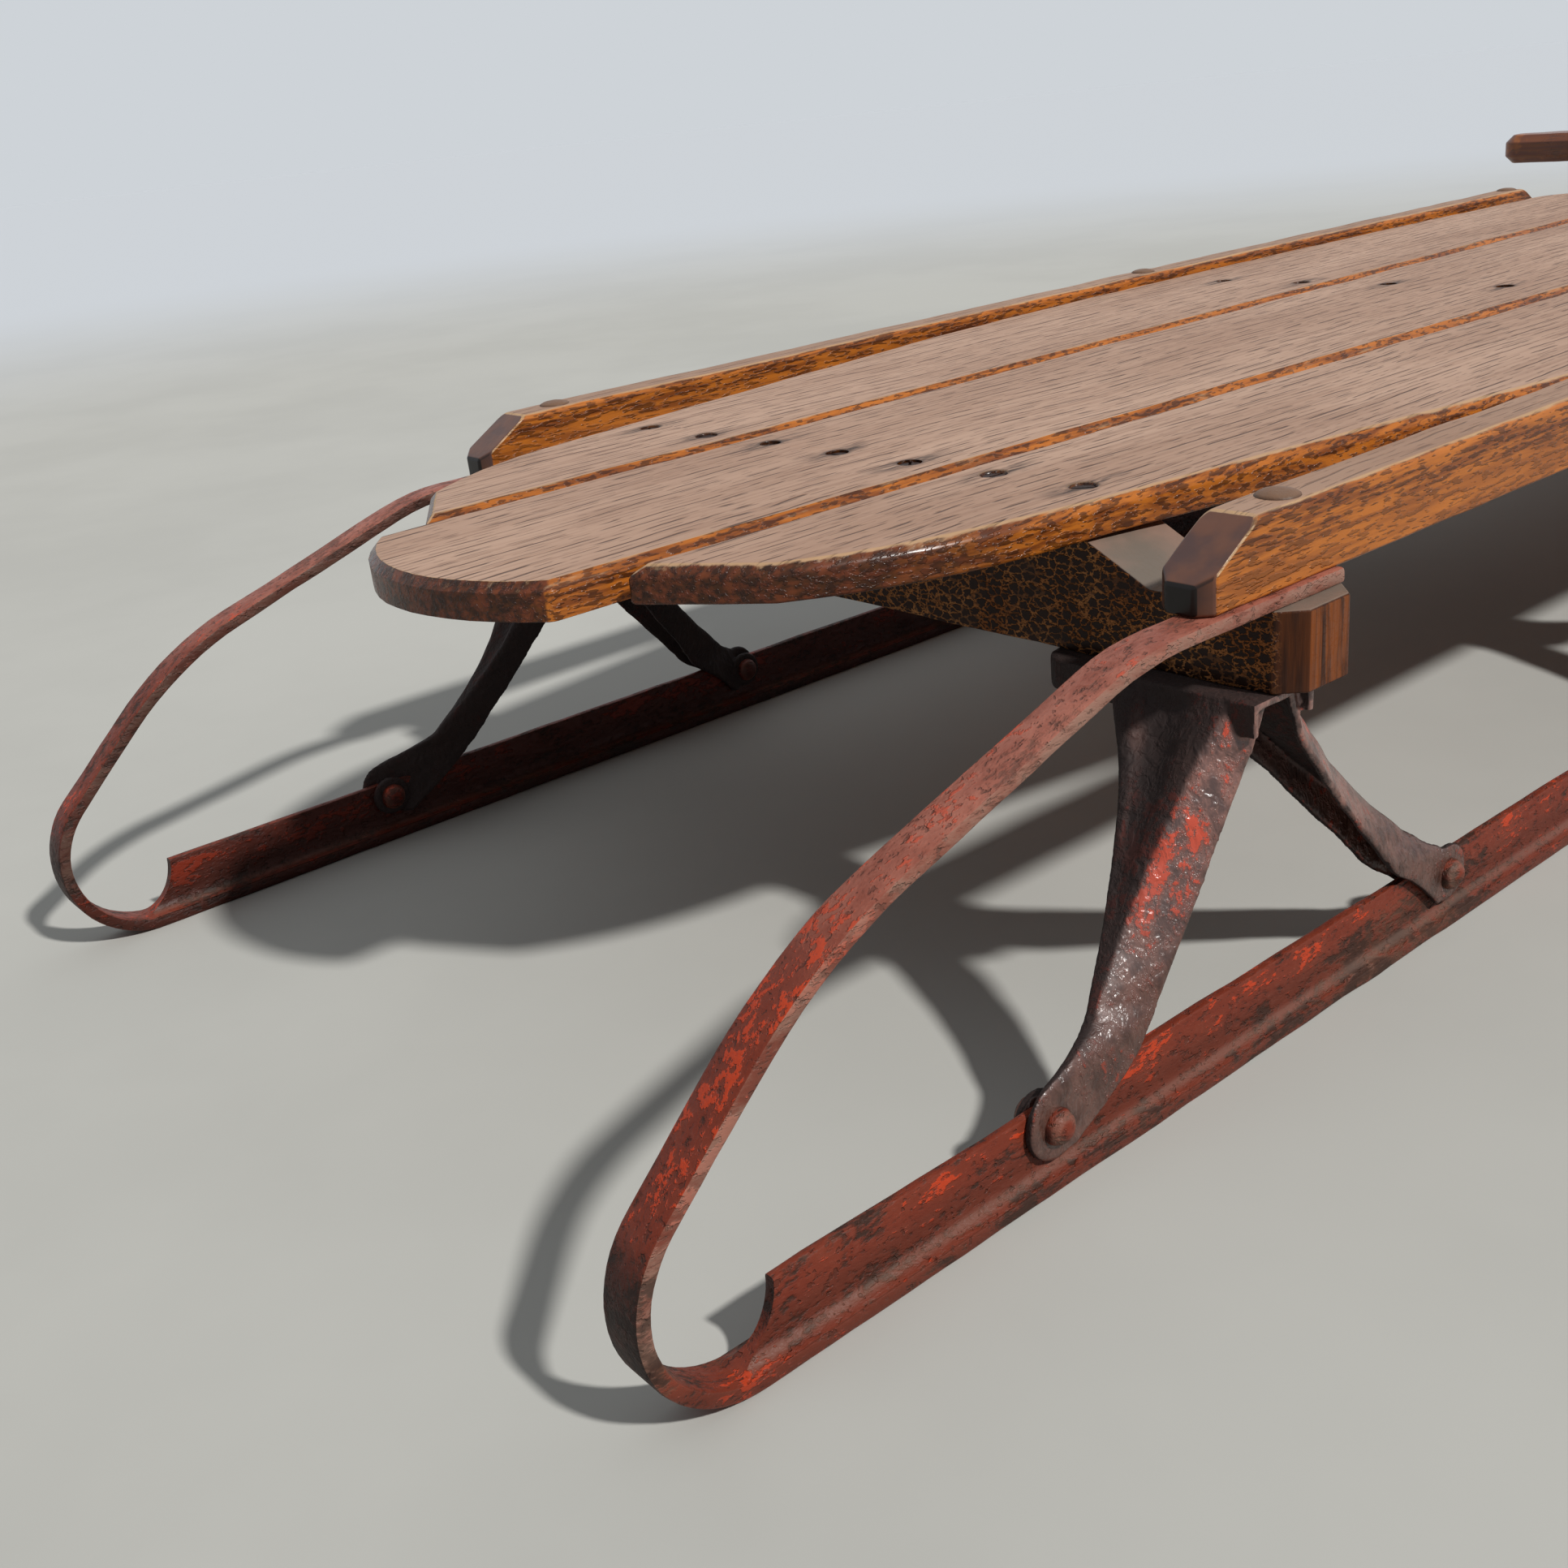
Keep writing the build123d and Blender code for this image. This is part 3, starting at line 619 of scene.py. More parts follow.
def bar_varnish():
    """The steering bar: glossy red-brown varnish, rubbed through on the grips."""
    fin = Finish("bar_varnish")
    streaks = fin.streaks((420, 26, 420), 4.0, 0.6)
    pores = fin.streaks((1500, 50, 900), 2.0).ramp(0.6, 0.68)
    patch = fin.noise(fin.place, 40.0, 4.0, 0.6)
    base = fin.mix(streaks.ramp(0.35, 0.65), "amber_deep", "red_brown")
    base = base.mix(patch.ramp(0.5, 0.7, 0.0, 0.7), "end_grain")
    base = base.mix(patch.ramp(0.28, 0.42, 0.7, 0.0), "amber").mix(pores * 0.6, "pore")
    rough = patch.ramp(0.3, 0.7, 0.35, 0.22)
    return fin.finish(base, rough, fin.bump(streaks * 0.6 - pores * 0.5, 0.0003, 0.7))


def flaking(fin, wide_scale, small_scale):
    """Noise of three sizes that tells where paint still holds, about 0.5 on average."""
    wide = fin.streaks(wide_scale, 4.0, 0.6)
    small = fin.streaks(small_scale, 5.0, 0.65)
    fine = fin.noise(fin.stretch(small_scale), 4.0, 3.0, 0.6)
    return wide * 0.45 + small * 0.35 + fine * 0.20, small, fine


def runner_paint():
    """Red paint flaking off brown rust. It lasts on the webs and is gone from the curls. Faces
    that turn inboard or look back are darkened with painted shade.
    """
    fin = Finish("runner_paint")
    x, y, z = fin.split(fin.place)
    back_way, side_way, up = fin.split(fin.facing)
    hold, small, fine = flaking(fin, (9, 26, 30), (70, 150, 150))
    sideways = abs(side_way)
    web = sideways.ramp(0.75, 0.95) * z.ramp(0.006, 0.012)
    web = web * z.ramp(WEB_TOP - 0.004, WEB_TOP, 1.0, 0.2)
    lip = z.ramp(WEB_TOP - 0.007, WEB_TOP - 0.001) * web
    curl = x.fall(WEB_START - 0.045, WEB_START - 0.015) * z.fall(0.022, 0.040)
    tail = x.fall(KNEE_X[0] - 0.125, KNEE_X[0] - 0.095) * z.fall(0.09, 0.11)
    sole = z.fall(0.005, 0.008) * up.ramp(-0.2, 0.2)
    hold = hold + web * 0.02 + lip * 0.03 - curl * 0.12 + tail * 0.015 - sole * 0.02
    dull = hold.ramp(0.42, 0.50)
    bright = hold.ramp(0.560, 0.590)
    base = fin.mix(small.ramp(0.38, 0.62), "rust_dark", "rust_mid")
    base = base.mix(fine.ramp(0.55, 0.72, 0.0, 0.4), "rust_pale").mix(dull * 0.8, "paint_dull")
    strip = (1.0 - web) * z.ramp(0.080, 0.110)
    base = base.mix(strip, base.mix(small.ramp(0.35, 0.65, 0.3, 0.7), "strip_dust"))
    base = base.mix(bright * strip.ramp(0.0, 1.0, 0.85, 0.6), "paint_red")
    pits = fin.streaks((380, 480, 480), 2.0).ramp(0.61, 0.68)
    edge = sideways.ramp(0.3, 0.6) * sideways.fall(0.8, 0.97)
    base = base.mix(pits * 0.45, "rust_dark").mix(edge * 0.3, "rust_pale")
    rims = sideways.ramp(0.6, 0.9) * z.ramp(WEB_TOP, WEB_TOP + 0.004)
    base = base.mix(rims * small.ramp(0.4, 0.6, 0.15, 0.7), "rust_pale")
    foot = z.ramp(WEB_TOP - 0.012, WEB_TOP - 0.005, 0.4, 0.0) * sideways
    # Painted shade: faces that turn inboard, towards the sled's middle, are darkened (inner is 0
    # on them).
    inner = (side_way * y.calc("SIGN")).ramp(-0.9, -0.4)
    # Painted shade, with dark rust: faces that look back, low on the curl, are darkened too.
    behind = back_way.fall(-0.98, -0.70) * z.fall(0.045, 0.065)
    base = base.mix(foot, "rust_dark").mix((1.0 - inner) * 0.65, "grime_and_shade")
    base = base.mix(behind * 0.75, "grime_and_shade")
    rough = hold.ramp(0.40, 0.58, 0.58, 0.42)
    low = fin.bump(small + fine * 0.4, 0.0007, 0.7)
    normal = fin.bump(dull + bright - pits * 1.5, 0.0002, 0.9, low)
    return fin.finish(base, rough, normal, specular=0.22)


def knee_paint():
    """The knees: thick wrinkled brown-purple paint with red patches, darkened with painted shade
    and some grime where sheltered.
    """
    fin = Finish("knee_paint")
    _, y, z = fin.split(fin.place)
    back_way, side_way, _ = fin.split(fin.facing)
    hold, small, fine = flaking(fin, (36, 36, 24), (150, 150, 110))
    hold = hold + abs(back_way).ramp(0.30, 0.60, -0.018, 0.022)
    dull = hold.ramp(0.51, 0.55)
    bright = hold.ramp(0.560, 0.578)
    base = fin.mix(small.ramp(0.35, 0.65), "knee_dark", "knee_mid")
    base = base.mix(fine.ramp(0.55, 0.75, 0.0, 0.35), "rust_pale")
    base = base.mix(dull * 0.55, "paint_dull").mix(bright, "paint_red")
    base = base.mix(z.ramp(0.026, 0.075, 0.65, 0.0), "rust_dark")
    # Painted shade, with some grime: faces that turn inboard and the channel's inboard part are
    # darkened, and lose their coat.
    open_side = (side_way * y.calc("SIGN")).ramp(0.35, 0.70)
    depth = abs(y).ramp(TRACK_Y - 0.017, TRACK_Y - 0.009, 0.7, 0.0)
    base = base.mix((1.0 - open_side) * 0.92, "grime_and_shade").mix(depth, "grime_and_shade")
    shown = open_side * (1.0 - depth)
    wrinkle = fin.noise(fin.stretch((1.0, 1.0, 0.7)), 330.0, 2.0, 0.5, 0.8)
    rough = fin.blend(shown, 0.8, wrinkle.ramp(0.3, 0.7, 0.32, 0.20))
    low = fin.bump(wrinkle + fine * 0.15, 0.0012, 0.9)
    return fin.finish(base, rough, fin.bump(dull + bright, 0.0002, 0.8, low),
                      coat=shown * z.ramp(0.030, 0.070, 0.4, 1.0), coat_rough=0.42,
                      specular=0.4)


def old_iron():
    """Screws, bolts and washers: dark pitted rust, rubbed grey on top of the rails."""
    fin = Finish("old_iron")
    _, _, z = fin.split(fin.place)
    patch = fin.noise(fin.place, 260.0, 5.0, 0.65)
    grit = fin.noise(fin.place, 1500.0, 3.0, 0.6)
    base = fin.mix(patch.ramp(0.40, 0.75), "varnish_dark", "rust_dark")
    base = base.mix(grit.ramp(0.55, 0.8, 0.0, 0.25), "rust_mid")
    rubbed = z.ramp(RAIL_TOP - 0.0002, RAIL_TOP + 0.0008, 0.25, 0.65)
    rubbed = rubbed * z.fall(RAIL_TOP + 0.0030, RAIL_TOP + 0.0040)
    base = base.mix(rubbed * z.ramp(RAIL_TOP - 0.0008, RAIL_TOP - 0.0004), "rail_top")
    normal = fin.bump(patch + grit * 0.4, 0.0004, 0.8)
    return fin.finish(base, patch.ramp(0.3, 0.7, 0.42, 0.62), normal, specular=0.3)


# ---- wood


class SLED_OT_slats(bpy.types.Operator):
    """Builds the three worn oak slats with their sunken screw holes"""

    bl_idname = "sled.slats"
    bl_label = "Build slats"

    def execute(self, context):
        for node in ("slat_centre", "slat_left", "slat_right"):
            board = copy_of_node(node, "deck_" + node)
            low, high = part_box(node)
            holes = [cylinder("screw_hole", 20, sizes().screw_radius * 1.12, 0.004,
                              (x, y, DECK_TOP))
                     for x, y in screw_places() if low.y < y < high.y]
            cut_out(board, join(holes, "screw_holes"))
            wear_wood(board, (0.0012, 2, 28), 0, 0.014, 0.035)
            place_piece(board, "sled", "deck_wood", worn_oak, (node,))
        return {"FINISHED"}


class SLED_OT_rails(bpy.types.Operator):
    """Builds the two side rails with their worn, bevelled ends"""

    bl_idname = "sled.rails"
    bl_label = "Build rails"

    def execute(self, context):
        for side in SIDES:
            node = "rail_" + side
            rail = copy_of_node(node, "side_" + node)
            wear_wood(rail, (0.0016, 3, 25), 0, 0.012)
            place_piece(rail, "sled", "rail_wood", rail_varnish, (node,))
        return {"FINISHED"}


class SLED_OT_bolsters(bpy.types.Operator):
    """Builds the three cross bolsters"""

    bl_idname = "sled.bolsters"
    bl_label = "Build bolsters"

    def execute(self, context):
        for place in BOLSTER_NAMES:
            node = "bolster_" + place
            beam = copy_of_node(node, "cross_" + node)
            wear_wood(beam, (0.0008, 2, 25), 1, 0.012)
            place_piece(beam, "sled", "bolster_wood", bolster_varnish, (node,))
        return {"FINISHED"}


# The steel round the steering: CAD node, piece, body, material slot, finish.
STEERING_STEEL = (
    ("steering_tongue", "steering_tongue_strap", "steering", "runner_steel", runner_paint),
    ("pivot_plate", "pivot_cross_plate", "sled", "runner_steel", runner_paint),
    ("nose_bar", "nose_cross_bar", "sled", "runner_steel", runner_paint),
    ("tongue_pin", "tongue_pivot_pin", "steering", "bolt_steel", old_iron),
    ("pivot_washer", "pivot_round_washer", "steering", "bolt_steel", old_iron),
    ("pivot_bolt", "pivot_long_bolt", "sled", "bolt_steel", old_iron),
)


class SLED_OT_steering(bpy.types.Operator):
    """Builds the rounded steering bar and dresses its steel"""

    bl_idname = "sled.steering"
    bl_label = "Build steering"

    def execute(self, context):
        bar = copy_of_node("steering_bar", "steering_handle_bar")
        wear_wood(bar, (0.0025, 3, 25), 1, 0.010)
        place_piece(bar, "steering", "bar_wood", bar_varnish, ("steering_bar",))
        for node, name, body, slot, finish in STEERING_STEEL:
            steel = copy_of_node(node, name)
            ease(steel, 0.0006, 2, 40)
            smooth(steel, 40, flat=True)
            place_piece(steel, body, slot, finish, (node,))
        return {"FINISHED"}


# ---- runners

# The runner's strip and web, from the strip's tip on the rear bolster round to the nose. Each
# bend has its radius and its turn in degrees.
STRIP_THICK = 0.004
STRIP_WIDE = 0.012
WEB_THICK = 0.003
WEB_ROOT = STRIP_THICK + 0.0052
WEB_TOP = 0.0222
NOTCH = 0.0175
NOSE_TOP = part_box("nose_bar")[0].z
TIP_START = BOLSTER_X[0] + 0.015
TIP_LONG = 0.066
KINK_ROUND = 0.080
FALL_SLOPE = 18.0
FALL_LONG = 0.072
FALL_ROUND = 0.120
FALL_TURN = 25.0
TIGHT = 0.0285
RISE_TURN = 45.0
RISE_ROUND = 0.130
RISE_X = BOLSTER_X[2] + 0.152
NOSE_TAIL = 0.030
WEB_START = KNEE_SPAN[0].x + RIVET_IN - 0.088


def heading(angle):
    """The cosine and sine of an angle in degrees, 0 being forward and 90 up."""
    return math.cos(math.radians(angle)), math.sin(math.radians(angle))


def bend_end(point, angle, radius, turn):
    """Where a bend ends, and its centre, in the side view."""
    way = 1 if turn > 0 else -1
    along, up = heading(angle + 90 * way)
    centre = Vector((point[0] + along * radius, point[1] + up * radius))
    along, up = heading(angle + turn - 90 * way)
    return Vector((centre.x + along * radius, centre.y + up * radius)), centre


def run_end(point, angle, moves):
    """Where a run of straights and bends ends, and its direction there."""
    for size, turn in moves:
        if turn:
            point, _ = bend_end(point, angle, size, turn)
            angle += turn
        else:
            point = Vector(point) + Vector(heading(angle)) * size
    return point, angle


def runner_moves():
    """The strip's whole run: its start, then straights and bends, and the nose's radius."""
    tip = Vector((TIP_START, RAIL_BOTTOM - STRIP_THICK / 2))
    moves = [(TIP_LONG, 0.0), (KINK_ROUND, FALL_SLOPE), (FALL_LONG, 0.0), (FALL_ROUND, FALL_TURN)]
    point, angle = run_end(tip, 180.0, moves)
    tight, _ = bend_end((0.0, 0.0), angle, TIGHT, 360.0 - angle)
    drop = point.y + tight.y - STRIP_THICK / 2
    moves += [(drop / heading(angle - 180.0)[1], 0.0), (TIGHT, 360.0 - angle)]
    ground, _ = run_end(tip, 180.0, moves)
    level = heading(RISE_TURN)[0]
    rise_height = STRIP_THICK / 2 + RISE_ROUND * (1 - level)
    nose_round = (NOSE_TOP - STRIP_THICK / 2 - rise_height) / (1 + level)
    moves += [(RISE_X - ground.x, 0.0), (RISE_ROUND, RISE_TURN), (nose_round, 180 - RISE_TURN),
              (NOSE_TAIL, 0.0)]
    return tip, moves, nose_round


def section_plane(name, x, y, z, wide, high):
    """An upright plane across the sled, to be carried along a run, in edit mode."""
    plane = start(bpy.ops.mesh.primitive_plane_add, name, size=1.0, location=(x, y, z),
                  rotation=(0, math.pi / 2, 0))
    edit(plane)
    bpy.ops.transform.resize(value=(1.0, wide, high), center_override=(x, y, z))
    return plane


def sweep(point, angle, moves, y, step):
    """In edit mode, carries a section along straights and bends, and closes the ends."""
    everything()
    bpy.ops.mesh.delete(type="ONLY_FACE")
    everything()
    for size, turn in moves:
        if turn:
            ending, centre = bend_end(point, angle, size, turn)
            count = max(3, round(math.radians(abs(turn)) * size / step), round(abs(turn) / 6))
            bpy.ops.mesh.spin(steps=count, angle=math.radians(turn), use_auto_merge=False,
                              center=(centre.x, y, centre.y), axis=(0.0, 1.0, 0.0))
        else:
            ending, _ = run_end(point, angle, [(size, turn)])
            count = max(1, round(size / step))
            move = Vector(heading(angle)) * (size / count)
            for _ in range(count):
                pull(move.x, move.y)
        point = ending
        angle += turn
    bpy.ops.mesh.select_mode(type="EDGE")
    bpy.ops.mesh.select_all(action="DESELECT")
    bpy.ops.mesh.select_non_manifold()
    bpy.ops.mesh.fill()
    everything()
    bpy.ops.mesh.remove_doubles(threshold=0.000005)
    bpy.ops.mesh.normals_make_consistent(inside=False)
    leave()


def runner_strip(name, y):
    """The strip that forms the rear loop, the sole and the nose."""
    tip, moves, _ = runner_moves()
    strip = section_plane(name, tip.x, y, tip.y, STRIP_WIDE, STRIP_THICK)
    bpy.ops.mesh.bevel(offset=0.0009, segments=2, affect="VERTICES")
    sweep(tip, 180.0, moves, y, 0.006)
    return strip


def runner_web(name, y):
    """The upright web with its flared root, hollowed out at both ends."""
    _, _, nose_round = runner_moves()
    x = WEB_START - NOTCH
    web = section_plane(name, x, y, (WEB_ROOT + WEB_TOP) / 2, WEB_THICK, WEB_TOP - WEB_ROOT)
    pick(web, "VERT", lambda vertex: vertex.co.z > WEB_TOP - 0.001)
    bpy.ops.mesh.bevel(offset=0.0008, segments=2, affect="VERTICES")
    flare = ((0.0016, 1.12), (0.0013, 1.25), (0.0010, 1.40), (0.0007, 1.50), (0.0004, 1.28),
             (0.0010, 1.0))
    for drop, widen in flare:
        lowest = min(vertex.co.z for vertex in bmesh.from_edit_mesh(web.data).verts)
        pick(web, "EDGE", lambda edge: edge_middle(edge).z < lowest + 0.00001)
        pull(0.0, -drop)
        bpy.ops.transform.resize(value=(1.0, widen, 1.0), center_override=(x, y, 0.0))
    bpy.ops.mesh.select_mode(type="FACE")
    everything()
    bpy.ops.mesh.dissolve_faces()
    bpy.ops.mesh.select_mode(type="VERT")
    moves = [(RISE_X - x, 0.0), (RISE_ROUND, RISE_TURN),
             (nose_round, math.degrees(NOTCH / nose_round))]
    sweep((x, STRIP_THICK / 2), 0.0, moves, y, 0.007)
    along, up = heading(RISE_TURN)
    foot = Vector((RISE_X + RISE_ROUND * up, STRIP_THICK / 2 + RISE_ROUND * (1 - along)))
    front = foot + Vector((along, up)) * NOTCH + Vector((-up, along)) * (STRIP_THICK / 2 + NOTCH)
    hollows = [cylinder("web_hollow", 64, NOTCH, 0.03, (centre_x, y, centre_z), math.pi / 2)
               for centre_x, centre_z in ((x, STRIP_THICK + NOTCH), front)]
    cut_out(web, join(hollows, "web_hollows"))
    return web


class SLED_OT_runners(bpy.types.Operator):
    """Builds the two steel runners with their rear loops and upturned noses"""

    bl_idname = "sled.runners"
    bl_label = "Build runners"

    def execute(self, context):
        for side, sign in SIDES.items():
            name = "steel_runner_" + side
            y = TRACK_Y * sign
            runner = join([runner_strip(name, y), runner_web(name + "_web", y)], name)
            wear(runner, sizes().steel_wear, 0.022, 40)
            place_piece(runner, "sled", "runner_steel", runner_paint, ("runner_" + side,))
        return {"FINISHED"}


# ---- knees

# A leg's section at falling heights, in mm: the height, how far the free edges, the ridge, the
# groove and the back lie from the knee's middle, then how far outward of the web's middle the
# outer free edge, the ridge, the groove, the back and the inner free edge lie.
LEG = (
    (101.5, (6.0, 15.5, 9.0, 18.0), (4.6, -4.0, -22.0, -38.0, -46.0)),
    (97.0, (7.6, 18.5, 11.5, 21.0), (4.6, -5.4, -21.6, -34.5, -41.0)),
    (92.0, (10.0, 22.3, 15.5, 25.0), (4.2, -6.3, -20.6, -31.0, -36.5)),
    (86.0, (12.8, 27.0, 20.0, 28.4), (3.5, -6.6, -18.8, -27.6, -32.0)),
)
# The lower end of the leg that leans back, at -1, and of the one that leans forward, at 1.
LEG_ENDS = {
    -1: (
        (75.0, (19.5, 34.8, 29.5, 35.6), (3.1, -7.0, -16.2, -22.4, -25.6)),
        (64.0, (26.5, 42.2, 39.2, 42.6), (2.7, -7.2, -14.2, -18.2, -20.4)),
        (48.0, (38.0, 54.8, 54.2, 55.0), (3.2, -5.6, -8.8, -11.6, -15.0)),
        (35.0, (47.8, 67.6, 68.2, 67.6), (3.6, -1.8, -3.8, -5.8, -10.0)),
        (30.5, (51.6, 81.0, 82.6, 81.0), (4.0, 2.2, 0.9, -0.4, -8.4)),
        (27.5, (54.2, 92.5, 94.2, 92.5), (4.2, 3.7, 2.6, 1.4, -6.8)),
        (22.0, (60.0, 96.6, 98.4, 96.6), (4.5, 4.2, 2.8, 1.4, -5.2)),
        (14.0, (72.0, 96.6, 98.2, 96.6), (4.6, 4.2, 2.8, 1.4, -4.6)),
        (9.0, (82.0, 92.0, 93.6, 92.0), (4.6, 4.4, 2.8, 1.4, -4.6)),
    ),
    1: (
        (75.0, (21.5, 36.6, 31.3, 37.4), (3.1, -7.0, -16.2, -22.4, -25.6)),
        (64.0, (30.5, 46.0, 43.0, 46.4), (2.7, -7.2, -14.2, -18.2, -20.4)),
        (48.0, (43.5, 60.6, 60.0, 60.8), (3.2, -5.6, -8.8, -11.6, -15.0)),
        (35.0, (54.0, 73.2, 74.0, 73.2), (3.6, -1.8, -3.8, -5.8, -10.0)),
        (30.5, (57.8, 78.6, 80.0, 78.6), (4.0, 1.2, 0.0, -1.4, -8.4)),
        (27.5, (60.5, 83.6, 85.4, 83.6), (4.2, 3.0, 2.0, 0.6, -6.8)),
        (22.0, (69.0, 92.6, 94.4, 92.6), (4.5, 4.2, 2.8, 1.4, -5.0)),
        (14.0, (78.0, 96.4, 98.0, 96.4), (4.6, 4.2, 2.8, 1.4, -4.6)),
        (9.0, (82.5, 92.0, 93.6, 92.0), (4.6, 4.4, 2.8, 1.4, -4.6)),
    ),
}


def leg_corners(row):
    """The five corners of one row of a leg's table."""
    _, (free, ridge, groove, back), outward = row
    return [Vector(corner) for corner in zip((free, ridge, groove, back, free), outward)]


def leg_line(table, height):
    """A leg's section at one height, read smoothly from its table."""
    for first, (upper, lower) in enumerate(zip(table, table[1:])):
        if height >= lower[0]:
            break
    rows = (table[max(first - 1, 0)], upper, lower, table[min(first + 2, len(table) - 1)])
    share = (upper[0] - height) / (upper[0] - lower[0])
    line = []
    for low, near, far, high in zip(*(leg_corners(row) for row in rows)):
        bend = 2 * low - 5 * near + 4 * far - high + share * (3 * (near - far) + high - low)
        line.append(near + 0.5 * share * (far - low + share * bend))
    return line


def rounded(corners, times):
    """A line through corners with the corners cut round again and again."""
    for _ in range(times):
        line = [corners[0]]
        for first, second in zip(corners, corners[1:]):
            line += [first.lerp(second, 0.22), first.lerp(second, 0.78)]
        corners = line + [corners[-1]]
    return corners


def knee_leg(x, y, way, sign):
    """The curved channel of one leg, thickened to its sheet."""
    rows = 56
    columns = 44
    table = LEG + LEG_ENDS[way]
    leg = start(bpy.ops.mesh.primitive_grid_add, "knee_leg", x_subdivisions=columns - 1,
                y_subdivisions=rows - 1, size=1.0)
    for index, vertex in enumerate(leg.data.vertices):
        row, column = divmod(index, columns)
        height = table[0][0] + (table[-1][0] - table[0][0]) * row / (rows - 1)
        line = rounded(leg_line(table, height), 3)
        lengths = [0.0]
        for first, second in zip(line, line[1:]):
            lengths.append(lengths[-1] + (second - first).length)
        goal = lengths[-1] * column / (columns - 1)
        for number in range(len(line) - 1):
            if lengths[number + 1] >= goal - 1e-9:
                break
        share = (goal - lengths[number]) / (lengths[number + 1] - lengths[number])
        along, out = line[number].lerp(line[number + 1], share)
        vertex.co = (x + way * along / 1000, y + sign * out / 1000, height / 1000)
    edit(leg)
    bpy.ops.mesh.normals_make_consistent(inside=False)
    leave()
    centre = Vector((x, y - sign * 0.012, 0.06))
    outward = sum((polygon.normal.dot(polygon.center - centre) for polygon in leg.data.polygons))
    use(leg, "SOLIDIFY", thickness=sizes().knee_sheet, offset=-1.0 if outward > 0 else 1.0)
    return leg


def knee_foot(x, y, way, sign):
    """The round ears at the end of a leg, on both sides of the runner's web."""
    ears = [cylinder("knee_ear", 32, radius, EAR_THICK,
                     (x + way * RIVET_X, y + sign * side * EAR_OUT, RIVET_Z), math.pi / 2)
            for side, radius in ((1, 0.0094), (-1, 0.0074))]
    ear = join(ears, "knee_ears")
    ease(ear, 0.0010, 2, 40)
    return ear


def knee_cap(x, y, sign):
    """The channel cap under the bolster, with its rounded tab inboard."""
    wide = 0.026
    deep = 0.009
    corner = 0.009
    sheet = sizes().knee_sheet
    tab_y = y - sign * TAB_LONG
    edge_y = y + sign * 0.006
    low_y, high_y = sorted((edge_y, tab_y))
    cap = block("knee_cap", (x, (low_y + high_y) / 2, BOLSTER_BOTTOM - deep / 2),
                (wide, high_y - low_y, deep))
    edit(cap)
    pick(cap, "EDGE", lambda edge: abs(edge_middle(edge).y - tab_y) < 0.0001
         and abs(edge.verts[0].co.z - edge.verts[1].co.z) > 0.001)
    bpy.ops.mesh.bevel(offset=corner, segments=5)
    pick(cap, "FACE", lambda face: face.normal.z < -0.9)
    bpy.ops.mesh.inset(thickness=sheet)
    pull(0.0, deep - sheet)
    leave()
    cut_out(cap, block("cap_opening", (x, edge_y, BOLSTER_BOTTOM - 0.0075),
                       (wide - sheet * 2, 0.012, 0.0104)))
    return cap


def pressed_knee(x, y, sign, name):
    """A whole knee, pressed as one sheet."""
    parts = [knee_cap(x, y, sign)]
    for way in (1, -1):
        parts += [knee_leg(x, y, way, sign), knee_foot(x, y, way, sign)]
    knee = join(parts, name)
    take(knee)
    knee.data.remesh_voxel_size = 0.0010
    bpy.ops.object.voxel_remesh()
    use(knee, "SMOOTH", factor=0.5, iterations=5)
    return knee


class SLED_OT_knees(bpy.types.Operator):
    """Builds the six pressed-steel knees"""

    bl_idname = "sled.knees"
    bl_label = "Build knees"

    def execute(self, context):
        for side, sign in SIDES.items():
            plain = pressed_knee(KNEE_X[0], TRACK_Y * sign, sign, "plain_knee")
            for place, x in zip(BOLSTER_NAMES, KNEE_X):
                node = f"knee_{place}_{side}"
                knee = copy_of_piece(plain, "pressed_" + node, (x - KNEE_X[0], 0.0, 0.0))
                wear(knee, sizes().steel_wear, 0.016, 60)
                place_piece(knee, "sled", "knee_steel", knee_paint, (node,))
            bpy.data.objects.remove(plain)
        return {"FINISHED"}


# ---- fasteners

BED = 0.0002  # how far a head's face is let into what it holds
FLANGE = 0.0006  # how far a round head goes on under its face


def stations(middles, y):
    """Both ends of every bolster: (its name, x, y)."""
    return [(f"{place}_{side}", x, y * sign)
            for place, x in zip(BOLSTER_NAMES, middles) for side, sign in SIDES.items()]


def dome(x, y, z, radius, rise, name):
    """A round head that stands on a level face, with a worn, slightly flat crown."""
    place = (x, y, z)
    head = start(bpy.ops.mesh.primitive_uv_sphere_add, name, segments=24, ring_count=12,
                 radius=radius, location=place)
    edit(head)
    bpy.ops.mesh.bisect(plane_co=place, plane_no=(0, 0, 1), clear_inner=True, use_fill=True)
    everything()
    bpy.ops.transform.resize(value=(1.0, 1.0, rise / radius), center_override=place)
    pick(head, "FACE", lambda face: face.normal.z < -0.9)
    pull(0.0, -FLANGE)
    leave()
    return head


def rivet(name, place, heads, worn, slot):
    """Places a rivet. Each head has its face's height, its share of the rise and its turn."""
    size = sizes()
    made = []
    for face, rise, turn in heads:
        head = dome(0.0, 0.0, face, size.rivet_radius, size.rivet_rise * rise, name)
        head.data.transform(Matrix.Rotation(turn, 4, "X"))
        made.append(head)
    whole = join(made, name)
    whole.data.transform(Matrix.Translation(place))
    wear(whole, worn, 0.006, 50)
    place_piece(whole, "sled", slot, runner_paint)


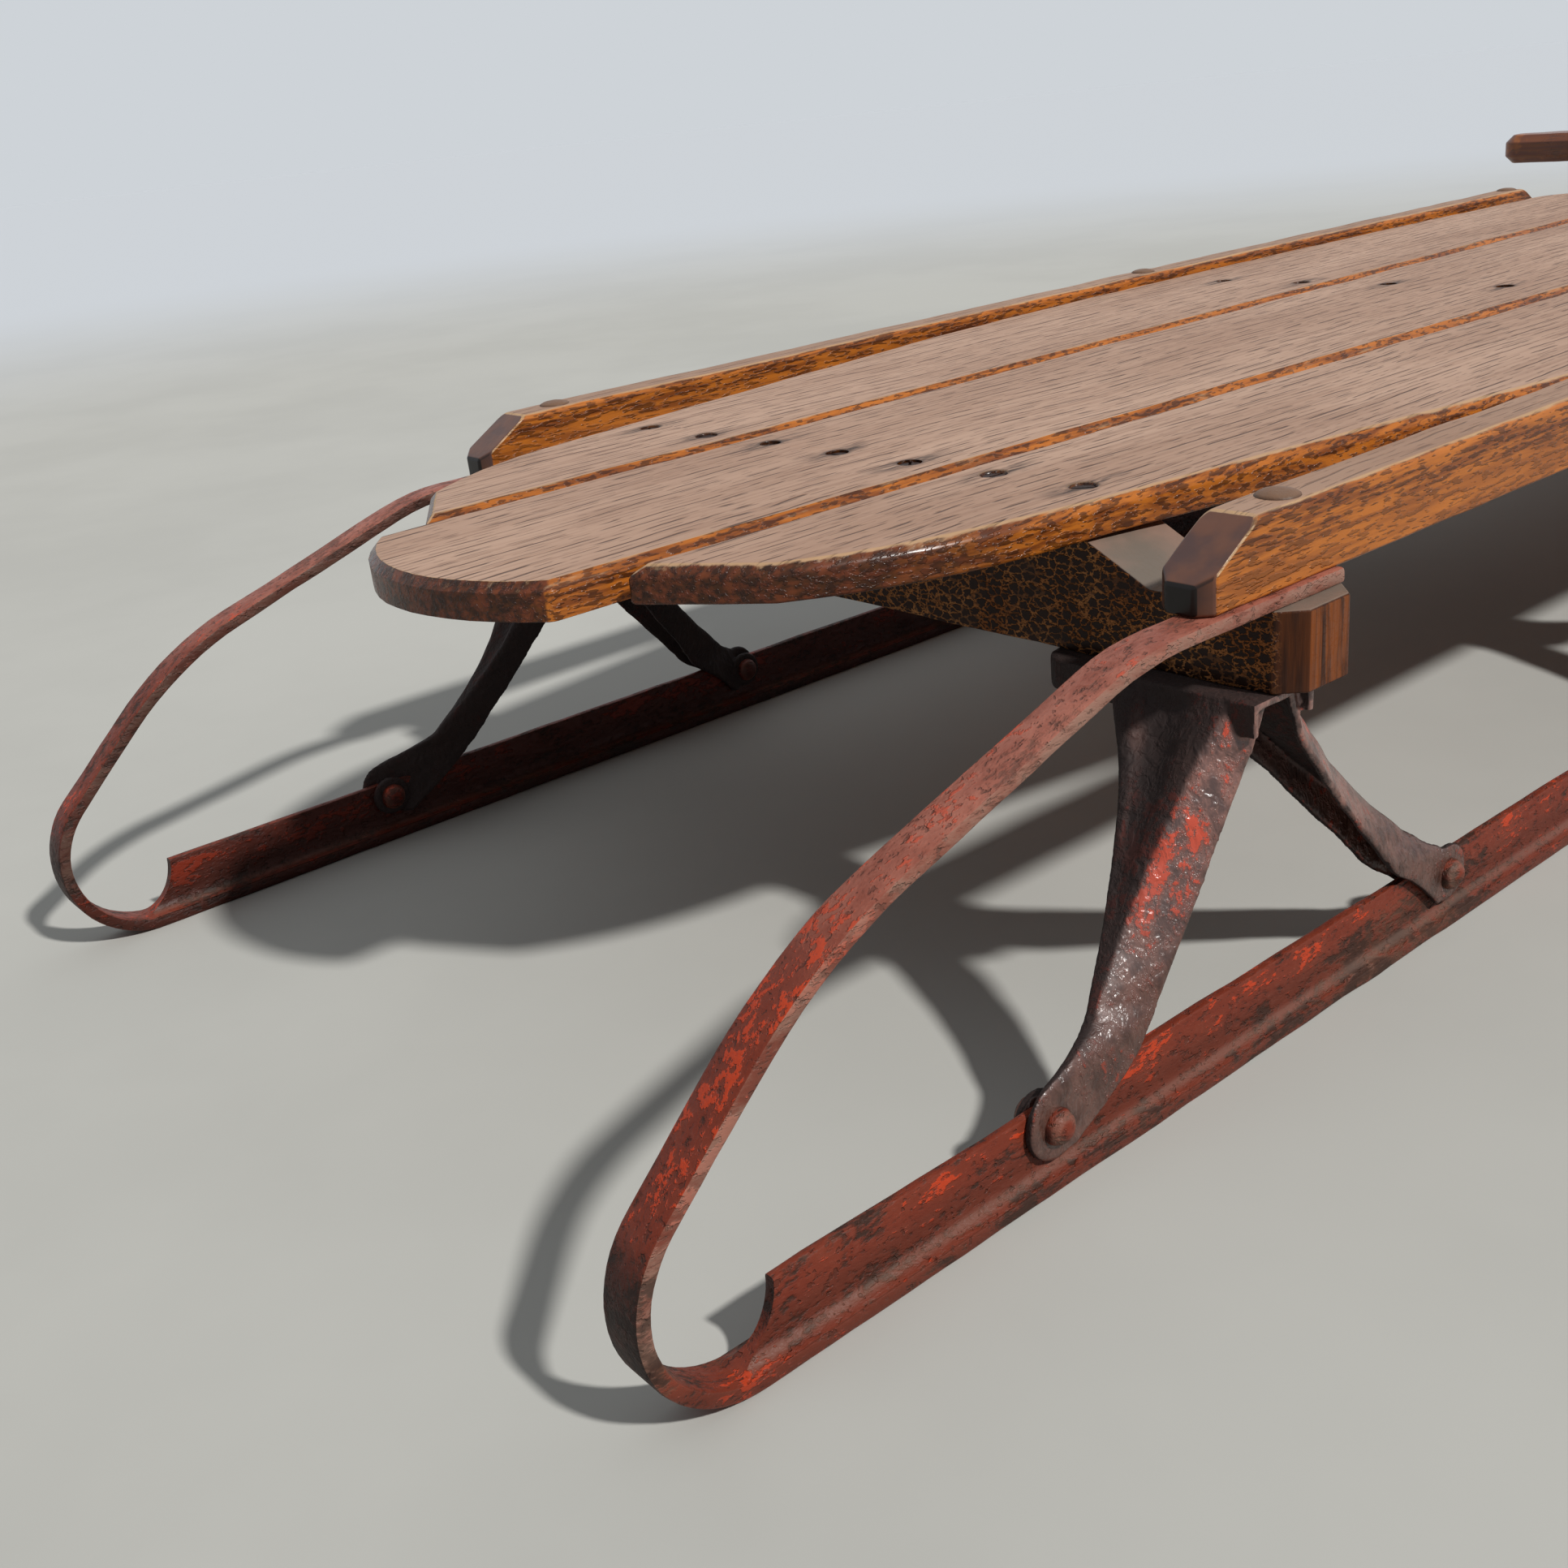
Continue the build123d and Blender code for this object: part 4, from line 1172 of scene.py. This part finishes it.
def slotted_screw(x, y, top, turn, name):
    """Places a flat screw head with its slot turned to an angle in degrees."""
    half_slot = 0.00045
    thick = 0.0012
    centre = Vector((x, y, 0.0))
    across = Vector(heading(turn)).to_3d()
    screw = cylinder(name, 24, sizes().screw_radius, thick, (x, y, top - thick / 2))
    edit(screw)
    for way in (-1, 1):
        everything()
        bpy.ops.mesh.bisect(plane_co=centre + across * half_slot * way, plane_no=across)
    pick(screw, "FACE", lambda face: face.normal.z > 0.9
         and abs((face.calc_center_median() - centre).dot(across)) < half_slot)
    pull(0.0, -thick / 2)
    leave()
    smooth(screw, 30)
    place_piece(screw, "sled", "bolt_steel", old_iron)


class SLED_OT_deck_screws(bpy.types.Operator):
    """Builds the slotted screws of the slats, sunk in their holes, and of the pivot plate"""

    bl_idname = "sled.deck_screws"
    bl_label = "Build screws"

    def execute(self, context):
        top = DECK_TOP - sizes().screw_sink
        for number, (x, y) in enumerate(screw_places()):
            slotted_screw(x, y, top, number * 67 % 180, f"deck_screw_{number + 1:02d}")
        low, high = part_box("pivot_plate")
        in_x = 0.007
        in_y = 0.008
        corners = [(x, y) for x in (low.x + in_x, high.x - in_x)
                   for y in (low.y + in_y, high.y - in_y)]
        for number, (x, y) in enumerate(corners, 1):
            slotted_screw(x, y, high.z + 0.0001, number * 41, f"plate_screw_{number}")
        return {"FINISHED"}


class SLED_OT_rail_bolts(bpy.types.Operator):
    """Builds the round-headed bolts that hold the rails to the bolsters"""

    bl_idname = "sled.rail_bolts"
    bl_label = "Build rail bolts"

    def execute(self, context):
        size = sizes()
        for end, x, y in stations(BOLSTER_X, RAIL_Y):
            bolt = dome(x, y, RAIL_TOP - BED, size.bolt_radius, size.bolt_rise,
                        "rail_bolt_" + end)
            wear(bolt, 0.0004, 0.008, 50)
            place_piece(bolt, "sled", "bolt_steel", old_iron)
        return {"FINISHED"}


class SLED_OT_rivets(bpy.types.Operator):
    """Builds the rivets through the knees' feet and webs, and through the nose bar"""

    bl_idname = "sled.rivets"
    bl_label = "Build rivets"

    def execute(self, context):
        face = EAR_OUT + EAR_THICK / 2 - BED
        heads = [(face, 1.0, turn * math.pi / 2) for turn in (1, -1)]
        for end, x, y in stations(KNEE_X, TRACK_Y):
            for word, way in (("back", -1), ("ahead", 1)):
                rivet(f"knee_rivet_{end}_{word}", (x + way * RIVET_X, y, RIVET_Z), heads,
                      0.0007, "knee_steel")
        low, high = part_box("nose_bar")
        heads = [(high.z - BED, 0.7, 0.0), (STRIP_THICK - low.z - BED, 0.5, math.pi)]
        for side, sign in SIDES.items():
            rivet("nose_rivet_" + side, (low.x + 0.0125, TRACK_Y * sign, 0.0), heads,
                  0.0006, "runner_steel")
        return {"FINISHED"}


class SLED_OT_knee_nuts(bpy.types.Operator):
    """Builds the bolt ends and hexagon nuts under the knees' inboard tabs"""

    bl_idname = "sled.knee_nuts"
    bl_label = "Build knee nuts"

    def execute(self, context):
        size = sizes()
        nut = cylinder("plain_nut", 6, size.nut_radius, size.nut_rise)
        ease(nut, 0.0005, 2, 40)
        bolt_end = cylinder("plain_bolt_end", 20, size.nut_radius * 0.5, size.nut_rise + 0.004)
        ease(bolt_end, 0.0006, 2, 40)
        plain = join([nut, bolt_end], "plain_nut")
        top = BOLSTER_BOTTOM - size.knee_sheet - size.nut_rise / 2
        for end, x, y in stations(KNEE_X, TRACK_Y - NUT_IN):
            piece = copy_of_piece(plain, "knee_nut_" + end, (x, y, top))
            wear(piece, 0.0004, 0.006, 40)
            place_piece(piece, "sled", "bolt_steel", old_iron)
        bpy.data.objects.remove(plain)
        return {"FINISHED"}


# ---- stage


def stand(name, data, turn):
    """Puts a lamp or a camera in the scene, turned by a quaternion."""
    holder = bpy.data.objects.new(name, data)
    bpy.context.scene.collection.objects.link(holder)
    holder.rotation_mode = "QUATERNION"
    holder.rotation_quaternion = turn
    return holder


class SLED_OT_stage(bpy.types.Operator):
    """Sets the camera, the lamps and the pale floor"""

    bl_idname = "sled.stage"
    bl_label = "Set the stage"

    def execute(self, context):
        scene = context.scene
        scene.view_settings.view_transform = "Standard"
        camera = bpy.data.cameras.new("sled_camera")
        camera.lens = 38.93
        camera.sensor_width = 36.0
        camera.clip_start = 0.01
        right = (0.75863, -0.64409, -0.09812)
        up = (0.31539, 0.23126, 0.92035)
        back = (-0.57010, -0.72915, 0.37858)
        turn = Matrix((right, up, back)).transposed().to_quaternion()
        scene.camera = stand("sled_camera", camera, turn)
        scene.camera.location = (-0.73980, -0.41290, 0.25656)

        floor = start(bpy.ops.mesh.primitive_circle_add, "studio_floor", vertices=96,
                      radius=14.0, fill_type="NGON")
        fin = Finish("floor_paint")
        x, y, _ = fin.split(fin.place)
        cloudy = fin.noise(fin.place, 3.0, 5.0, 0.6)
        darker = tuple(value * 0.93 for value in tint("floor")[:3]) + (1.0,)
        base = fin.mix(cloudy.ramp(0.35, 0.65), "floor", darker)
        base = base.mix(fin.distance(x, y).ramp(1.3, 3.2), "far_floor")
        floor.data.materials.append(fin.finish(base, 0.85, specular=0.12))

        world = bpy.data.worlds.new("studio_world")
        scene.world = world
        world.use_nodes = True
        sky = NodeTree(world.node_tree)
        toward = sky.vectors("DOT_PRODUCT", {
            0: sky.node("ShaderNodeTexCoord", {}, "Generated"),
            1: Vector((0.25, 0.80, 0.55)).normalized()}, "Value")
        glow = sky.node("ShaderNodeMapRange", {
            "Value": toward, "From Min": -0.2, "To Min": 0.05, "To Max": 0.62})
        sky.nodes.remove(sky.nodes["Background"])
        soft = sky.node("ShaderNodeBackground", {
            "Color": (0.94, 0.97, 1.0, 1.0), "Strength": glow})
        seen = sky.node("ShaderNodeLightPath", {}, "Is Camera Ray")
        for ray in ("Is Glossy Ray", "Is Transmission Ray"):
            seen = sky.either(seen, sky.node("ShaderNodeLightPath", {}, ray))
        backdrop = sky.node("ShaderNodeBackground", {"Color": "backdrop"})
        choice = sky.node("ShaderNodeMixShader", {0: seen, 1: soft, 2: backdrop})
        sky.feed(sky.nodes["World Output"].inputs["Surface"], choice)

        key = bpy.data.lights.new("key_lamp", "SUN")
        key.energy = 3.1
        key.angle = math.radians(3.5)
        key.color = (1.0, 0.98, 0.95)
        stand("key_lamp", key, Vector((-0.16, 0.96, -1.0)).to_track_quat("-Z", "Y"))
        return {"FINISHED"}


# ---- add-on

OPERATORS = (
    SLED_OT_slats,
    SLED_OT_rails,
    SLED_OT_bolsters,
    SLED_OT_runners,
    SLED_OT_knees,
    SLED_OT_steering,
    SLED_OT_deck_screws,
    SLED_OT_rail_bolts,
    SLED_OT_rivets,
    SLED_OT_knee_nuts,
    SLED_OT_stage,
)


class SLED_PT_panel(bpy.types.Panel):
    """Lists the sled's building steps"""

    bl_idname = "SLED_PT_panel"
    bl_label = "Runner sled"
    bl_space_type = "VIEW_3D"
    bl_region_type = "UI"
    bl_category = "Sled"

    def draw(self, context):
        for operator in OPERATORS:
            self.layout.operator(operator.bl_idname)
        for group in (context.scene.sled_sizes, context.scene.sled_colours):
            for name in group.__annotations__:
                self.layout.prop(group, name)


CLASSES = (SledSizes, SledColours) + OPERATORS + (SLED_PT_panel,)


def register():
    """Adds the classes and the settings."""
    for item in CLASSES:
        bpy.utils.register_class(item)
    bpy.types.Scene.sled_sizes = bpy.props.PointerProperty(type=SledSizes)
    bpy.types.Scene.sled_colours = bpy.props.PointerProperty(type=SledColours)


def unregister():
    """Takes the classes and the settings away."""
    del bpy.types.Scene.sled_colours
    del bpy.types.Scene.sled_sizes
    for item in reversed(CLASSES):
        bpy.utils.unregister_class(item)


def main():
    """Builds the whole sled and its stage."""
    register()
    bpy.ops.sled.slats()
    bpy.ops.sled.rails()
    bpy.ops.sled.bolsters()
    bpy.ops.sled.runners()
    bpy.ops.sled.knees()
    bpy.ops.sled.steering()
    bpy.ops.sled.deck_screws()
    bpy.ops.sled.rail_bolts()
    bpy.ops.sled.rivets()
    bpy.ops.sled.knee_nuts()
    bpy.ops.sled.stage()


if __name__ == "__main__":
    main()
